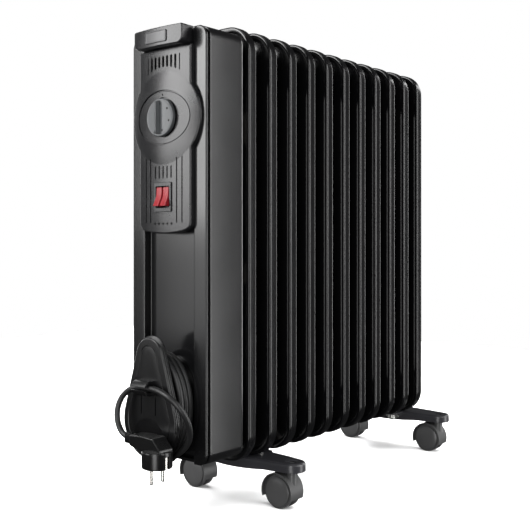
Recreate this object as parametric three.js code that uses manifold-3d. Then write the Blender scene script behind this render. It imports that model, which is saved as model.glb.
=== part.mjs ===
// Oil-filled radiator heater: eleven welded steel fins, a front control housing, a cord reel and
// four twin-wheel casters on two foot brackets. Millimetres, +Z up, controls face -Y, fins stack
// along +Y, and the origin is on the floor under the middle of the heater.
import * as THREE from "three";
import { mergeVertices } from "three/addons/utils/BufferGeometryUtils.js";
import Module from "manifold-3d";

const wasm = await Module();
wasm.setup();

// ---- Driving dimensions -------------------------------------------------------------------
const GAP = 0.3; // clearance between pieces that touch

const FIN_COUNT = 11;
const FIN_PITCH = 44;
const FIN_WIDTH = 136;
const FIN_HEIGHT = 581;
const FIN_BOTTOM = 65;
const FIN_RADIUS = 38; // outline corner
const FIN_RIM = 11; // width of the raised rim around the web
const FIN_THICK = 15; // across the rim
const FIN_WEB = 3;
const FIN_BEHIND = 17.5; // middle of the first fin, behind the housing's back edge
const BOSS_RADIUS = 23;
const BOSS_MARGIN = 19; // from the boss to the fin's top and bottom
const BORE_RADIUS = 14;
const LAST_BOSS = 12; // how far the closed bosses stand out behind the last fin

const HOUSING_WIDTH = 136;
const HOUSING_BOTTOM = 79;
const HOUSING_TOP = 630;
const HOUSING_RADIUS = 15;
const HOUSING_DEPTH = 71;
const FRONT_LIP = 4; // how far the front cover turns back at its edge
const SHEET = 2;
const CHANNEL_WIDTH = 90;
const CHANNEL_DEPTH = 12;

const PANEL_WIDTH = 94;
const PANEL_BOTTOM = 369;
const PANEL_PROUD = 9; // panel face in front of the cover
const PANEL_WALL = 3;
const PANEL_CORNER = 9;
const DIAL_Z = 517.5;
const BULGE_RADIUS = 62; // widening of the panel around the dial
const DOME_RADIUS = 57.5;
const DOME_RISE = 4;
const SLOT_COUNT = 7;
const SLOT_PITCH = 7.2;
const SLOT_WIDTH = 2.4;
const SLOT_TOP = 597;
const SLOT_ARC = 65; // the slots end on this arc around the dial

const KNOB_RADIUS = 24.5;
const KNOB_DISC = 4.5;
const BLADE_HEIGHT = 6;
const BLADE_WIDTH = 8;
const SHAFT_RADIUS = 3;
const THERMOSTAT = new THREE.Vector3(40, 28, 40);

const SWITCH_Z = 416;
const BEZEL_WIDTH = 31;
const BEZEL_HEIGHT = 38;
const BEZEL_THICK = 1.2;
const SWITCH_DEPTH = 24; // body of the switch behind the panel face
const ROCKER_WIDTH = 12;
const ROCKER_LENGTH = 25;
const ROCKER_TILT = 8; // degrees each side of level

const HANDLE_WIDTH = 84;
const HANDLE_BOTTOM = 607;
const HANDLE_TOP = 631;
const HANDLE_FRONT = 22; // in front of the cover
const HANDLE_BAR = 9;
const HANDLE_SIDE = 8;
const HANDLE_BACK = 3;
const BADGE = new THREE.Vector3(38, 1, 15);

const REEL_LOW_Z = 132;
const REEL_LOW_RADIUS = 50;
const REEL_TOP_Z = 214;
const REEL_TOP_RADIUS = 26;
const REEL_FRONT = 34; // plate face in front of the cover
const REEL_PLATE = 8;
const CORD = 7.6; // cord diameter
const WINDING_Z = 157;
const WINDING_A = 47; // half axes of a turn's centre line
const WINDING_B = 70;
const WINDING_FRONT = 24.5;
const CLIP_Z = 176;
const CLIP_WIDTH = 22;
const CLIP_HEIGHT = 20;
const CLIP_DEPTH = 14;
const CLIP_AXIS = 8; // cord axis in front of the plate

const GLAND_Z = 87;
const GLAND_START = -41;
const GLAND_END = -8;

const PLUG_X = 37;
const PLUG_Y = -54;
const PLUG_FACE = 85; // height of the plug's mating face
const PLUG_RADIUS = 19;
const PLUG_BASE = 21;
const PLUG_ARM_TOP = 122;
const PLUG_ARM_WIDTH = 22;
const PLUG_ARM_START = -2;
const RELIEF_START = -14;
const RELIEF_Z = 115;
const PIN_SPACING = 19;
const PIN_RADIUS = 2.4;
const PIN_LENGTH = 19;

const FOOT_HALF_SPAN = 96; // caster stems from the middle
const FOOT_RADIUS = 18; // rounded end around the stem
const FOOT_HALF_WIDTH = 25; // at the middle of the bracket
const FOOT_THICK = 3;
const FOOT_DEPTH = 12.7;
const FRONT_FOOT_BEHIND = 48.5; // middle of the foot behind the first fin
const REAR_FOOT_BEHIND = 14.5; // middle of the foot behind the last fin
const U_BOLT_RADIUS = 3;
const WING_NUT_HEIGHT = 8;
const WING_NUT_RADIUS = 7;
const WING_SPAN = 26;

const WHEEL_RADIUS = 23;
const WHEEL_SIDES = 16; // a flat side of each wheel stands on the floor
const WHEEL_WIDTH = 10;
const CASTER_WIDTH = 28;
const CASTER_TRAIL = 17; // wheel axle behind the stem
const HOOD_CLEAR = 3.7419; // from the top of a hood to the foot above it
const HOOD_GAP = 0.9;
const HOOD_WALL = 1.8;
const HOOD_WEB = 6.4;
const AXLE_RADIUS = 2.7;
const STEM_RADIUS = 5;
const STEM_BOSS = 7;

// ---- Worked out from the driving dimensions ------------------------------------------------
const FIN_FIRST = HOUSING_DEPTH + FIN_BEHIND;
const FIN_LAST = FIN_FIRST + (FIN_COUNT - 1) * FIN_PITCH;
const FRONT_FOOT_Y = FIN_FIRST + FRONT_FOOT_BEHIND;
const REAR_FOOT_Y = FIN_LAST + REAR_FOOT_BEHIND;
const BOSS_INSET = BOSS_RADIUS + BOSS_MARGIN; // boss centre from the fin's top and bottom
const BOSS_LOW = FIN_BOTTOM + BOSS_INSET;
const BOSS_HIGH = FIN_BOTTOM + FIN_HEIGHT - BOSS_INSET;
const BOSS_REACH = FIN_PITCH / 2 - GAP / 2;
const FLOOR_Y = CHANNEL_DEPTH; // front of the channel floor
const PANEL_TOP = HANDLE_BOTTOM - GAP;
const PLATE_BACK = REEL_PLATE - REEL_FRONT;
const CLIP_FRONT = -REEL_FRONT - CLIP_DEPTH;
const CORD_RADIUS = CORD / 2;
const WINDING_HALF = CORD_RADIUS + 0.5;
const FOOT_TOP = FIN_BOTTOM - GAP;
const FOOT_BOTTOM = FOOT_TOP - FOOT_DEPTH;
const FRONT_BOLT_Y = FIN_FIRST + 1.5 * FIN_PITCH;
const REAR_BOLT_Y = FIN_LAST - 0.5 * FIN_PITCH;
const U_BOLT_HALF = BOSS_RADIUS + U_BOLT_RADIUS + 2 * GAP;
const BACK_Y = Math.max(REAR_FOOT_Y + FOOT_HALF_WIDTH, FIN_LAST + LAST_BOSS);
const ORIGIN_Y = (CLIP_FRONT + BACK_Y) / 2;
const HOOD_INNER = WHEEL_RADIUS + HOOD_GAP;
const HOOD_OUTER = HOOD_INNER + HOOD_WALL;
// The casters hang from the feet. Heights are given for these wheels, and larger ones lift the heater.
const AXLE_HEIGHT = FOOT_BOTTOM - HOOD_CLEAR - HOOD_OUTER;
const FLOOR = AXLE_HEIGHT - WHEEL_RADIUS * Math.cos(Math.PI / WHEEL_SIDES);

// ---- Materials ------------------------------------------------------------------------------
const material = (color, roughness, metalness = 0) =>
  new THREE.MeshStandardMaterial({ color, roughness, metalness });
const enamel = material(0x111113, 0.38, 0.2);
const housingPaint = material(0x17171a, 0.35, 0.3);
const plastic = material(0x1b1b1d, 0.5);
const knobPlastic = material(0x55585a, 0.35);
const steel = material(0xb4b4b4, 0.3, 1);
const nickel = material(0xd8d8d4, 0.2, 1);
const ceramic = material(0xd8d2c4, 0.6);
const redLens = material(0xd8202a, 0.2);
const cordJacket = material(0x19191b, 0.55);

// ---- Geometry helpers -----------------------------------------------------------------------
function toSolid(geometry) {
  const bare = geometry.clone();
  bare.deleteAttribute("normal");
  bare.deleteAttribute("uv");
  const merged = mergeVertices(bare, 1e-4);
  return new wasm.Manifold(
    new wasm.Mesh({
      numProp: 3,
      vertProperties: new Float32Array(merged.attributes.position.array),
      triVerts: new Uint32Array(merged.index.array),
    }),
  );
}

function toGeometry(solid) {
  const mesh = solid.getMesh();
  const geometry = new THREE.BufferGeometry();
  geometry.setAttribute("position", new THREE.BufferAttribute(mesh.vertProperties, 3));
  geometry.setIndex(new THREE.BufferAttribute(mesh.triVerts, 1));
  geometry.computeVertexNormals();
  return geometry;
}

// Joins the geometries in `solids`, then cuts away those in `tools`.
function build(solids, tools = []) {
  let result = toSolid(solids[0]);
  for (const g of solids.slice(1)) result = result.add(toSolid(g));
  for (const g of tools) result = result.subtract(toSolid(g));
  return toGeometry(result);
}

function box(x0, x1, y0, y1, z0, z1) {
  const g = new THREE.BoxGeometry(x1 - x0, y1 - y0, z1 - z0);
  return g.translate((x0 + x1) / 2, (y0 + y1) / 2, (z0 + z1) / 2);
}

function cylinderY(radius, x, y0, y1, z, segments = 20) {
  return new THREE.CylinderGeometry(radius, radius, y1 - y0, segments).translate(x, (y0 + y1) / 2, z);
}

function cylinderZ(radius, x, y, z0, z1, segments = 16) {
  const g = new THREE.CylinderGeometry(radius, radius, z1 - z0, segments);
  return g.rotateX(Math.PI / 2).translate(x, y, (z0 + z1) / 2);
}

// A cone along X, from radius r0 at x0 to radius r1 at x1.
function coneX(x0, r0, x1, r1, y, z, segments = 12) {
  const g = new THREE.CylinderGeometry(r1, r0, x1 - x0, segments);
  return g.rotateZ(-Math.PI / 2).translate((x0 + x1) / 2, y, z);
}

// A shape drawn in X and Z, standing from y0 to y1.
function slab(shape, y0, y1, curveSegments = 3) {
  const g = new THREE.ExtrudeGeometry(shape, { depth: y1 - y0, bevelEnabled: false, curveSegments });
  return g.rotateX(Math.PI / 2).translate(0, y1, 0);
}

// A shape drawn in X and Y, standing from z0 to z1.
function prism(shape, z0, z1, curveSegments = 3) {
  const g = new THREE.ExtrudeGeometry(shape, { depth: z1 - z0, bevelEnabled: false, curveSegments });
  return g.translate(0, 0, z0);
}

// A closed profile of (radius, y) points, given either way round, turned around the Y axis.
function revolve(points, segments) {
  const profile = points.map(([r, y]) => new THREE.Vector2(r, y));
  if (THREE.ShapeUtils.area(profile) < 0) profile.reverse();
  return new THREE.LatheGeometry(profile, segments);
}

function roundedRect(x0, x1, z0, z1, r) {
  const s = new THREE.Shape();
  s.moveTo(x0 + r, z0);
  s.lineTo(x1 - r, z0);
  s.absarc(x1 - r, z0 + r, r, -Math.PI / 2, 0, false);
  s.absarc(x1 - r, z1 - r, r, 0, Math.PI / 2, false);
  s.absarc(x0 + r, z1 - r, r, Math.PI / 2, Math.PI, false);
  s.absarc(x0 + r, z0 + r, r, Math.PI, 1.5 * Math.PI, false);
  return s;
}

// The outline around two circles on the middle line, the lower one at z0 and the upper one at z1.
function teardrop(z0, r0, z1, r1) {
  const lean = Math.asin((r0 - r1) / (z1 - z0));
  const s = new THREE.Shape();
  s.absarc(0, z0, r0, Math.PI - lean, 2 * Math.PI + lean, false);
  s.absarc(0, z1, r1, lean, Math.PI - lean, false);
  return s;
}

function ellipse(z, a, b) {
  const s = new THREE.Shape();
  s.absellipse(0, z, a, b, 0, 2 * Math.PI, false, 0);
  return s;
}

function ring(radius, segments) {
  const s = new THREE.Shape();
  for (let i = 0; i < segments; i++) {
    const a = (2 * Math.PI * i) / segments;
    if (i === 0) s.moveTo(radius * Math.cos(a), radius * Math.sin(a));
    else s.lineTo(radius * Math.cos(a), radius * Math.sin(a));
  }
  return s;
}

function tube(points, radius, segments, steps) {
  const path = new THREE.CatmullRomCurve3(points.map((p) => new THREE.Vector3(...p)));
  return new THREE.ExtrudeGeometry(ring(radius, segments), { steps, extrudePath: path, bevelEnabled: false });
}

const heater = new THREE.Group();
heater.position.set(0, -ORIGIN_Y, -FLOOR);

function node(parent, name, geometry, mat) {
  const mesh = new THREE.Mesh(geometry, mat);
  mesh.name = name;
  parent.add(mesh);
  return mesh;
}

// ---- Fins -----------------------------------------------------------------------------------
function finOutline(inset) {
  const half = FIN_WIDTH / 2 - inset;
  const middle = FIN_HEIGHT / 2 - inset;
  return roundedRect(-half, half, -middle, middle, FIN_RADIUS - inset);
}

// One fin around its own middle: a rim, a thin web and two bosses that reach the next fin.
function finGeometry(isFirst, isLast) {
  const bevel = 3;
  const body = new THREE.ExtrudeGeometry(finOutline(0), {
    depth: FIN_THICK - 2 * bevel,
    bevelThickness: bevel,
    bevelSize: bevel,
    bevelOffset: -bevel,
    bevelSegments: 1,
    curveSegments: 2,
  });
  body.rotateX(Math.PI / 2).translate(0, FIN_THICK / 2 - bevel, 0);
  const front = slab(finOutline(FIN_RIM), -FIN_THICK, -FIN_WEB / 2, 2);
  const back = slab(finOutline(FIN_RIM), FIN_WEB / 2, FIN_THICK, 2);
  const plate = toSolid(body).subtract(toSolid(front)).subtract(toSolid(back));
  const bossZ = FIN_HEIGHT / 2 - BOSS_INSET;
  const rear = isLast ? LAST_BOSS : BOSS_REACH;
  let fin = plate;
  for (const z of [-bossZ, bossZ]) fin = fin.add(toSolid(cylinderY(BOSS_RADIUS, 0, -BOSS_REACH, rear, z, 12)));
  // The headers are bored through every fin, but closed at the last one and above the heater.
  for (const z of [-bossZ, bossZ]) {
    const from = isFirst && z > 0 ? 0 : -FIN_PITCH;
    const to = isLast ? 0 : FIN_PITCH;
    fin = fin.subtract(toSolid(cylinderY(BORE_RADIUS, 0, from, to, z, 8)));
  }
  return toGeometry(fin);
}

const fins = new THREE.Group();
fins.position.z = FIN_BOTTOM + FIN_HEIGHT / 2;
heater.add(fins);
for (let i = 0; i < FIN_COUNT; i++) {
  const name = "fin_" + String(i + 1).padStart(2, "0");
  const fin = node(fins, name, finGeometry(i === 0, i === FIN_COUNT - 1), enamel);
  fin.position.y = FIN_FIRST + i * FIN_PITCH;
}

const backFace = FIN_LAST + LAST_BOSS + GAP;
node(
  heater,
  "oil_filler_plug",
  new THREE.CylinderGeometry(9, 9, 5, 6).translate(0, backFace + 2.5, BOSS_HIGH),
  steel,
);

// ---- Heating element in the lower header ----------------------------------------------------
const FLANGE_FRONT = FIN_FIRST - BOSS_REACH - GAP - 5;
const ROD_RADIUS = 4;
const ROD_SPREAD = 7;
const rodHoles = [-ROD_SPREAD, ROD_SPREAD].map((dz) =>
  cylinderY(ROD_RADIUS + GAP, 0, FLANGE_FRONT - 1, FLANGE_FRONT + 7, BOSS_LOW + dz, 12),
);
node(
  heater,
  "element_flange",
  build([cylinderY(BOSS_RADIUS, 0, FLANGE_FRONT, FLANGE_FRONT + 5, BOSS_LOW, 12)], rodHoles),
  steel,
);
const rodEnd = FIN_LAST - FIN_PITCH;
node(
  heater,
  "heating_element",
  build(
    [-ROD_SPREAD, ROD_SPREAD].map((dz) =>
      cylinderY(ROD_RADIUS - 0.1, 0, FLANGE_FRONT - 8, rodEnd, BOSS_LOW + dz, 8),
    ).concat([box(-3, 3, rodEnd - 3, rodEnd + 3, BOSS_LOW - ROD_SPREAD, BOSS_LOW + ROD_SPREAD)]),
  ),
  steel,
);
node(
  heater,
  "thermal_cutout",
  cylinderY(9, 0, FIN_FIRST - FIN_WEB / 2 - GAP - 9, FIN_FIRST - FIN_WEB / 2 - GAP, 340, 12),
  ceramic,
);

// ---- Housing --------------------------------------------------------------------------------
const housing = new THREE.Group();
heater.add(housing);
const half = HOUSING_WIDTH / 2;
const channelHalf = CHANNEL_WIDTH / 2;
const coverOutline = (inset) =>
  roundedRect(-half + inset, half - inset, HOUSING_BOTTOM + inset, HOUSING_TOP - inset, HOUSING_RADIUS - inset);

const switchHalfX = ROCKER_WIDTH + 2;
const switchHalfZ = BEZEL_HEIGHT / 2 - 1.5;
const switchHole = (y0, y1) =>
  box(-switchHalfX - GAP, switchHalfX + GAP, y0, y1, SWITCH_Z - switchHalfZ - GAP, SWITCH_Z + switchHalfZ + GAP);
const channelOuter = channelHalf + SHEET;
const coverFace = build([slab(coverOutline(0), 0, FRONT_LIP)], [slab(coverOutline(SHEET), SHEET, FRONT_LIP + 1)]);
const channelBox = box(-channelOuter, channelOuter, 1, FLOOR_Y + SHEET, HOUSING_BOTTOM + SHEET, HOUSING_TOP - SHEET);
node(
  housing,
  "front_cover",
  build(
    [coverFace, channelBox],
    [
      box(-channelHalf, channelHalf, -1, FLOOR_Y, HOUSING_BOTTOM - 1, HOUSING_TOP + 1),
      cylinderY(SHAFT_RADIUS + 2, 0, 0, 20, DIAL_Z, 12),
      switchHole(0, 20),
    ],
  ),
  housingPaint,
);
node(
  housing,
  "cover_shell",
  build(
    [slab(coverOutline(0), FRONT_LIP + GAP, HOUSING_DEPTH)],
    [slab(coverOutline(SHEET), FRONT_LIP, HOUSING_DEPTH + 1)],
  ),
  housingPaint,
);
const behindFloor = FLOOR_Y + SHEET + GAP;
node(housing, "terminal_block", box(-22, 22, behindFloor, behindFloor + 16, 300, 324), ceramic);

// ---- Control panel --------------------------------------------------------------------------
// The panel's front outline: straight sides, wider around the dial, with a bowed lower edge.
function panelOutline(inset) {
  const w = PANEL_WIDTH / 2 - inset;
  const bulge = BULGE_RADIUS - inset;
  const a = Math.acos(w / bulge);
  const r = PANEL_CORNER;
  const low = PANEL_BOTTOM + inset;
  const s = new THREE.Shape();
  s.moveTo(-w, low + r + 4);
  s.quadraticCurveTo(-w, low + 4, -w + 2 * r, low + 2);
  s.quadraticCurveTo(0, low - 2, w - 2 * r, low + 2);
  s.quadraticCurveTo(w, low + 4, w, low + r + 4);
  s.absarc(0, DIAL_Z, bulge, -a, a, false);
  s.lineTo(w, PANEL_TOP - inset);
  s.lineTo(-w, PANEL_TOP - inset);
  s.absarc(0, DIAL_Z, bulge, Math.PI - a, Math.PI + a, false);
  return s;
}

const ventSlots = [];
for (let i = 0; i < SLOT_COUNT; i++) {
  const x = (i - (SLOT_COUNT - 1) / 2) * SLOT_PITCH;
  const low = DIAL_Z + Math.sqrt(SLOT_ARC ** 2 - x ** 2);
  ventSlots.push(box(x - SLOT_WIDTH / 2, x + SLOT_WIDTH / 2, -20, 0, low, SLOT_TOP));
}
const domeFront = -PANEL_PROUD - DOME_RISE;
const knobBack = domeFront + 2.5; // the knob's disc sits in a shallow recess of the dome
const dome = revolve(
  [
    [0, -PANEL_PROUD + 2],
    [DOME_RADIUS + 2, -PANEL_PROUD + 2],
    [DOME_RADIUS, -PANEL_PROUD - 0.2],
    [KNOB_RADIUS + 12, domeFront + 0.6],
    [KNOB_RADIUS + 1, domeFront],
    [KNOB_RADIUS + 1, knobBack],
    [0, knobBack],
  ],
  24,
).translate(0, 0, DIAL_Z);
node(
  housing,
  "control_panel",
  build(
    [
      build(
        [slab(panelOutline(0), -PANEL_PROUD, -GAP, 5)],
        [slab(panelOutline(PANEL_WALL), PANEL_WALL - PANEL_PROUD, 1, 5)],
      ),
      dome,
    ],
    [...ventSlots, cylinderY(SHAFT_RADIUS + 1, 0, -30, 20, DIAL_Z, 12), switchHole(-20, 1)],
  ),
  plastic,
);

// The thermostat sits behind the channel floor, and its shaft comes forward into the knob.
const thermostatBack = behindFloor + THERMOSTAT.y;
const shaftBack = behindFloor + 4;
const knobFront = knobBack - KNOB_DISC - GAP;
const shaftFront = knobFront + 1.5;
node(
  housing,
  "thermostat_body",
  build(
    [
      box(
        -THERMOSTAT.x / 2,
        THERMOSTAT.x / 2,
        behindFloor,
        thermostatBack,
        DIAL_Z - THERMOSTAT.z / 2,
        DIAL_Z + THERMOSTAT.z / 2,
      ),
    ],
    [cylinderY(SHAFT_RADIUS + GAP, 0, 0, shaftBack + GAP, DIAL_Z, 12)],
  ),
  ceramic,
);
const dial = new THREE.Group();
dial.position.z = DIAL_Z;
housing.add(dial);
node(dial, "thermostat_shaft", cylinderY(SHAFT_RADIUS - 0.1, 0, shaftFront, shaftBack, 0, 12), steel);
node(
  dial,
  "thermostat_knob",
  build(
    [
      cylinderY(KNOB_RADIUS, 0, knobFront, knobBack - GAP, 0, 24),
      box(-BLADE_WIDTH / 2, BLADE_WIDTH / 2, knobFront - BLADE_HEIGHT, knobFront + 1, 3 - KNOB_RADIUS, KNOB_RADIUS - 3),
    ],
    [cylinderY(SHAFT_RADIUS + GAP, 0, shaftFront - GAP, 0, 0, 12)],
  ),
  knobPlastic,
);

// ---- Switches -------------------------------------------------------------------------------
const bezelBack = -PANEL_PROUD - GAP;
const bezelFront = bezelBack - BEZEL_THICK;
const rockerPocket = 10; // depth behind the bezel's face
const pocketHalfX = ROCKER_WIDTH + 2 * GAP;
const pocketHalfZ = ROCKER_LENGTH / 2 + 1.6;
node(
  housing,
  "switch_housing",
  build(
    [
      box(
        -BEZEL_WIDTH / 2,
        BEZEL_WIDTH / 2,
        bezelFront,
        bezelBack,
        SWITCH_Z - BEZEL_HEIGHT / 2,
        SWITCH_Z + BEZEL_HEIGHT / 2,
      ),
      box(-switchHalfX, switchHalfX, bezelFront, SWITCH_DEPTH, SWITCH_Z - switchHalfZ, SWITCH_Z + switchHalfZ),
    ],
    [
      box(
        -pocketHalfX,
        pocketHalfX,
        bezelFront - 1,
        bezelFront + rockerPocket,
        SWITCH_Z - pocketHalfZ,
        SWITCH_Z + pocketHalfZ,
      ),
    ],
  ),
  plastic,
);

// A rocker's section in Y and Z around its pivot: a shallow V face and a round back.
function rockerGeometry() {
  const h = ROCKER_LENGTH / 2;
  const s = new THREE.Shape();
  s.moveTo(-h, -3.4);
  s.lineTo(0, -1.6);
  s.lineTo(h, -3.4);
  s.lineTo(h - 0.8, 2);
  s.quadraticCurveTo(0, 8, -h + 0.8, 2);
  const g = new THREE.ExtrudeGeometry(s, { depth: ROCKER_WIDTH - GAP, bevelEnabled: false, curveSegments: 4 });
  // Drawn x stands up as Z, drawn y stays Y, and the depth runs along -X.
  g.translate(0, 0, -(ROCKER_WIDTH - GAP) / 2);
  const turned = new THREE.Matrix4().makeBasis(
    new THREE.Vector3(0, 0, 1),
    new THREE.Vector3(0, 1, 0),
    new THREE.Vector3(-1, 0, 0),
  );
  return g.applyMatrix4(turned);
}
const rockerPivotY = bezelFront + 1.5;
for (const [name, side] of [
  ["rocker_left", -1],
  ["rocker_right", 1],
]) {
  const rocker = node(housing, name, rockerGeometry(), redLens);
  rocker.position.set((side * (ROCKER_WIDTH + GAP)) / 2, rockerPivotY, SWITCH_Z);
  rocker.rotation.x = THREE.MathUtils.degToRad(-ROCKER_TILT); // pressed in at the top
}

// ---- Handle ---------------------------------------------------------------------------------
const handleHalf = HANDLE_WIDTH / 2;
const gripHalf = handleHalf - HANDLE_SIDE;
const handleBack = FLOOR_Y - GAP;
node(
  housing,
  "handle",
  build(
    [slab(roundedRect(-handleHalf, handleHalf, HANDLE_BOTTOM, HANDLE_TOP, 5), -HANDLE_FRONT, handleBack, 3)],
    [
      box(
        -gripHalf,
        gripHalf,
        HANDLE_BAR - HANDLE_FRONT,
        handleBack - HANDLE_BACK,
        HANDLE_BOTTOM - 1,
        HANDLE_TOP + 1,
      ),
      // The shell's top wall passes over the handle's foot.
      box(-half, half, FRONT_LIP, handleBack + 1, HOUSING_TOP - SHEET - GAP, HANDLE_TOP + 1),
    ],
  ),
  plastic,
);
const badgeBack = -HANDLE_FRONT - GAP;
const handleMiddle = (HANDLE_BOTTOM + HANDLE_TOP) / 2;
node(
  housing,
  "badge_plate",
  slab(
    roundedRect(-BADGE.x / 2, BADGE.x / 2, handleMiddle - BADGE.z / 2, handleMiddle + BADGE.z / 2, 2),
    badgeBack - BADGE.y,
    badgeBack,
    2,
  ),
  knobPlastic,
);

// ---- Cord reel ------------------------------------------------------------------------------
const clipHoleRadius = CORD_RADIUS + 1;
const clipHalf = CLIP_WIDTH / 2;
node(
  housing,
  "reel_core",
  slab(ellipse(WINDING_Z, WINDING_A - CORD_RADIUS - 1, WINDING_B - CORD_RADIUS - 1), PLATE_BACK + GAP, FLOOR_Y - GAP, 10),
  plastic,
);
node(
  housing,
  "reel_plate",
  build(
    [
      slab(teardrop(REEL_LOW_Z, REEL_LOW_RADIUS, REEL_TOP_Z, REEL_TOP_RADIUS), -REEL_FRONT, PLATE_BACK, 8),
      box(
        -clipHalf,
        clipHalf,
        CLIP_FRONT,
        1 - REEL_FRONT,
        CLIP_Z - CLIP_HEIGHT / 2,
        CLIP_Z + CLIP_HEIGHT / 2,
      ),
    ],
    [
      new THREE.CylinderGeometry(clipHoleRadius, clipHoleRadius, CLIP_WIDTH + 2, 12)
        .rotateZ(Math.PI / 2)
        .translate(0, -REEL_FRONT - CLIP_AXIS, CLIP_Z),
      box(-clipHalf - 1, clipHalf + 1, CLIP_FRONT - 1, -REEL_FRONT - CLIP_AXIS, CLIP_Z - 2.8, CLIP_Z + 2.8),
    ],
  ),
  plastic,
);

// ---- Mains lead -----------------------------------------------------------------------------
// Wound on the reel as one closed ring, then free from the reel through the clip to the plug.
// A short lead-in carries it from the gland, in the channel, to the back of the winding.
const glandY = FLOOR_Y - GAP - 6.2;
const windingBack = -1;
const turnAt = (degrees, y) => {
  const t = THREE.MathUtils.degToRad(degrees);
  return [WINDING_A * Math.cos(t), y, WINDING_Z + WINDING_B * Math.sin(t)];
};
const leadIn = [
  [GLAND_END + GAP, glandY, GLAND_Z],
  turnAt(-90, glandY),
  turnAt(-75, glandY - 1.5),
  turnAt(-60, glandY - 5),
  turnAt(-45, glandY - 9.5),
];
node(
  housing,
  "cord_coil",
  build([
    build(
      [slab(ellipse(WINDING_Z, WINDING_A + WINDING_HALF, WINDING_B + WINDING_HALF), -WINDING_FRONT, windingBack, 10)],
      [slab(ellipse(WINDING_Z, WINDING_A - WINDING_HALF, WINDING_B - WINDING_HALF), -WINDING_FRONT - 1, 0, 10)],
    ),
    tube(leadIn, CORD_RADIUS, 8, 8),
  ]),
  cordJacket,
);
node(
  housing,
  "cord_gland",
  build([
    box(GLAND_START, GLAND_START + 12, glandY - 6, FLOOR_Y - GAP, GLAND_Z - 6, GLAND_Z + 6),
    coneX(GLAND_START + 11, 6, GLAND_END, CORD_RADIUS + 0.7, glandY, GLAND_Z),
  ]),
  plastic,
);
const CORD_ROUTE = [
  [24, -20, 85.6],
  [36, -19, 94],
  [48, -18, 103.5],
  [57, -19, 115],
  [62, -23, 127],
  [64, -29, 139],
  [63, -35, 150],
  [58, -40, 160],
  [48.5, -43.5, 168.5],
  [34, -43.5, 173.8],
  [20, -42.3, 176],
  [8, -42, 176.4],
  [-4, -42, 176.3],
  [-16, -42.6, 174.8],
  [-27, -44, 170],
  [-35.5, -46.5, 161.5],
  [-39.5, -49.5, 150.5],
  [-39, -52, 138.5],
  [-34.5, -53.5, 127.5],
  [-27.5, -54, 119.2],
  [-20, -54, 115.6],
  [RELIEF_START - 2 * GAP, PLUG_Y, RELIEF_Z],
];
node(housing, "cord_lead", tube(CORD_ROUTE, CORD_RADIUS, 8, 34), cordJacket);

// ---- Plug -----------------------------------------------------------------------------------
const plug = new THREE.Group();
plug.position.set(PLUG_X, PLUG_Y, PLUG_FACE);
housing.add(plug);
const armHalf = PLUG_ARM_WIDTH / 2;
const armTop = PLUG_ARM_TOP - PLUG_FACE;
const arm = new THREE.Shape();
arm.moveTo(PLUG_ARM_START - PLUG_X, PLUG_BASE + 1);
arm.lineTo(-PLUG_RADIUS, PLUG_BASE - 2);
arm.lineTo(PLUG_RADIUS - 3, PLUG_BASE - 2);
arm.lineTo(PLUG_RADIUS - 3, PLUG_BASE + 3);
arm.lineTo(2, armTop);
arm.lineTo(PLUG_ARM_START - PLUG_X, armTop);
node(
  plug,
  "plug_body",
  build([
    cylinderZ(PLUG_RADIUS, 0, 0, 0, PLUG_BASE, 20),
    slab(arm, -armHalf, armHalf),
    coneX(
      RELIEF_START - PLUG_X,
      CORD_RADIUS + 0.8,
      PLUG_ARM_START - PLUG_X + 1,
      7,
      0,
      RELIEF_Z - PLUG_FACE,
    ),
  ]),
  plastic,
);
for (const [i, side] of [-1, 1].entries()) {
  node(plug, "plug_pin_" + (i + 1), cylinderZ(PIN_RADIUS, 0, (side * PIN_SPACING) / 2, -GAP - PIN_LENGTH, -GAP, 10), nickel);
}

// ---- Foot brackets, U-bolts and wing nuts ---------------------------------------------------
// The bracket's outline in X and Y: wide in the middle, with round ends about the stems.
function footOutline(inset) {
  const w = FOOT_HALF_WIDTH - inset;
  const r = FOOT_RADIUS - inset;
  const x = FOOT_HALF_SPAN;
  const s = new THREE.Shape();
  s.moveTo(-x, -r);
  s.quadraticCurveTo(-x / 2, -w, 0, -w);
  s.quadraticCurveTo(x / 2, -w, x, -r);
  s.absarc(x, 0, r, -Math.PI / 2, Math.PI / 2, false);
  s.quadraticCurveTo(x / 2, w, 0, w);
  s.quadraticCurveTo(-x / 2, w, -x, r);
  s.absarc(-x, 0, r, Math.PI / 2, 1.5 * Math.PI, false);
  return s;
}

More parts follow.
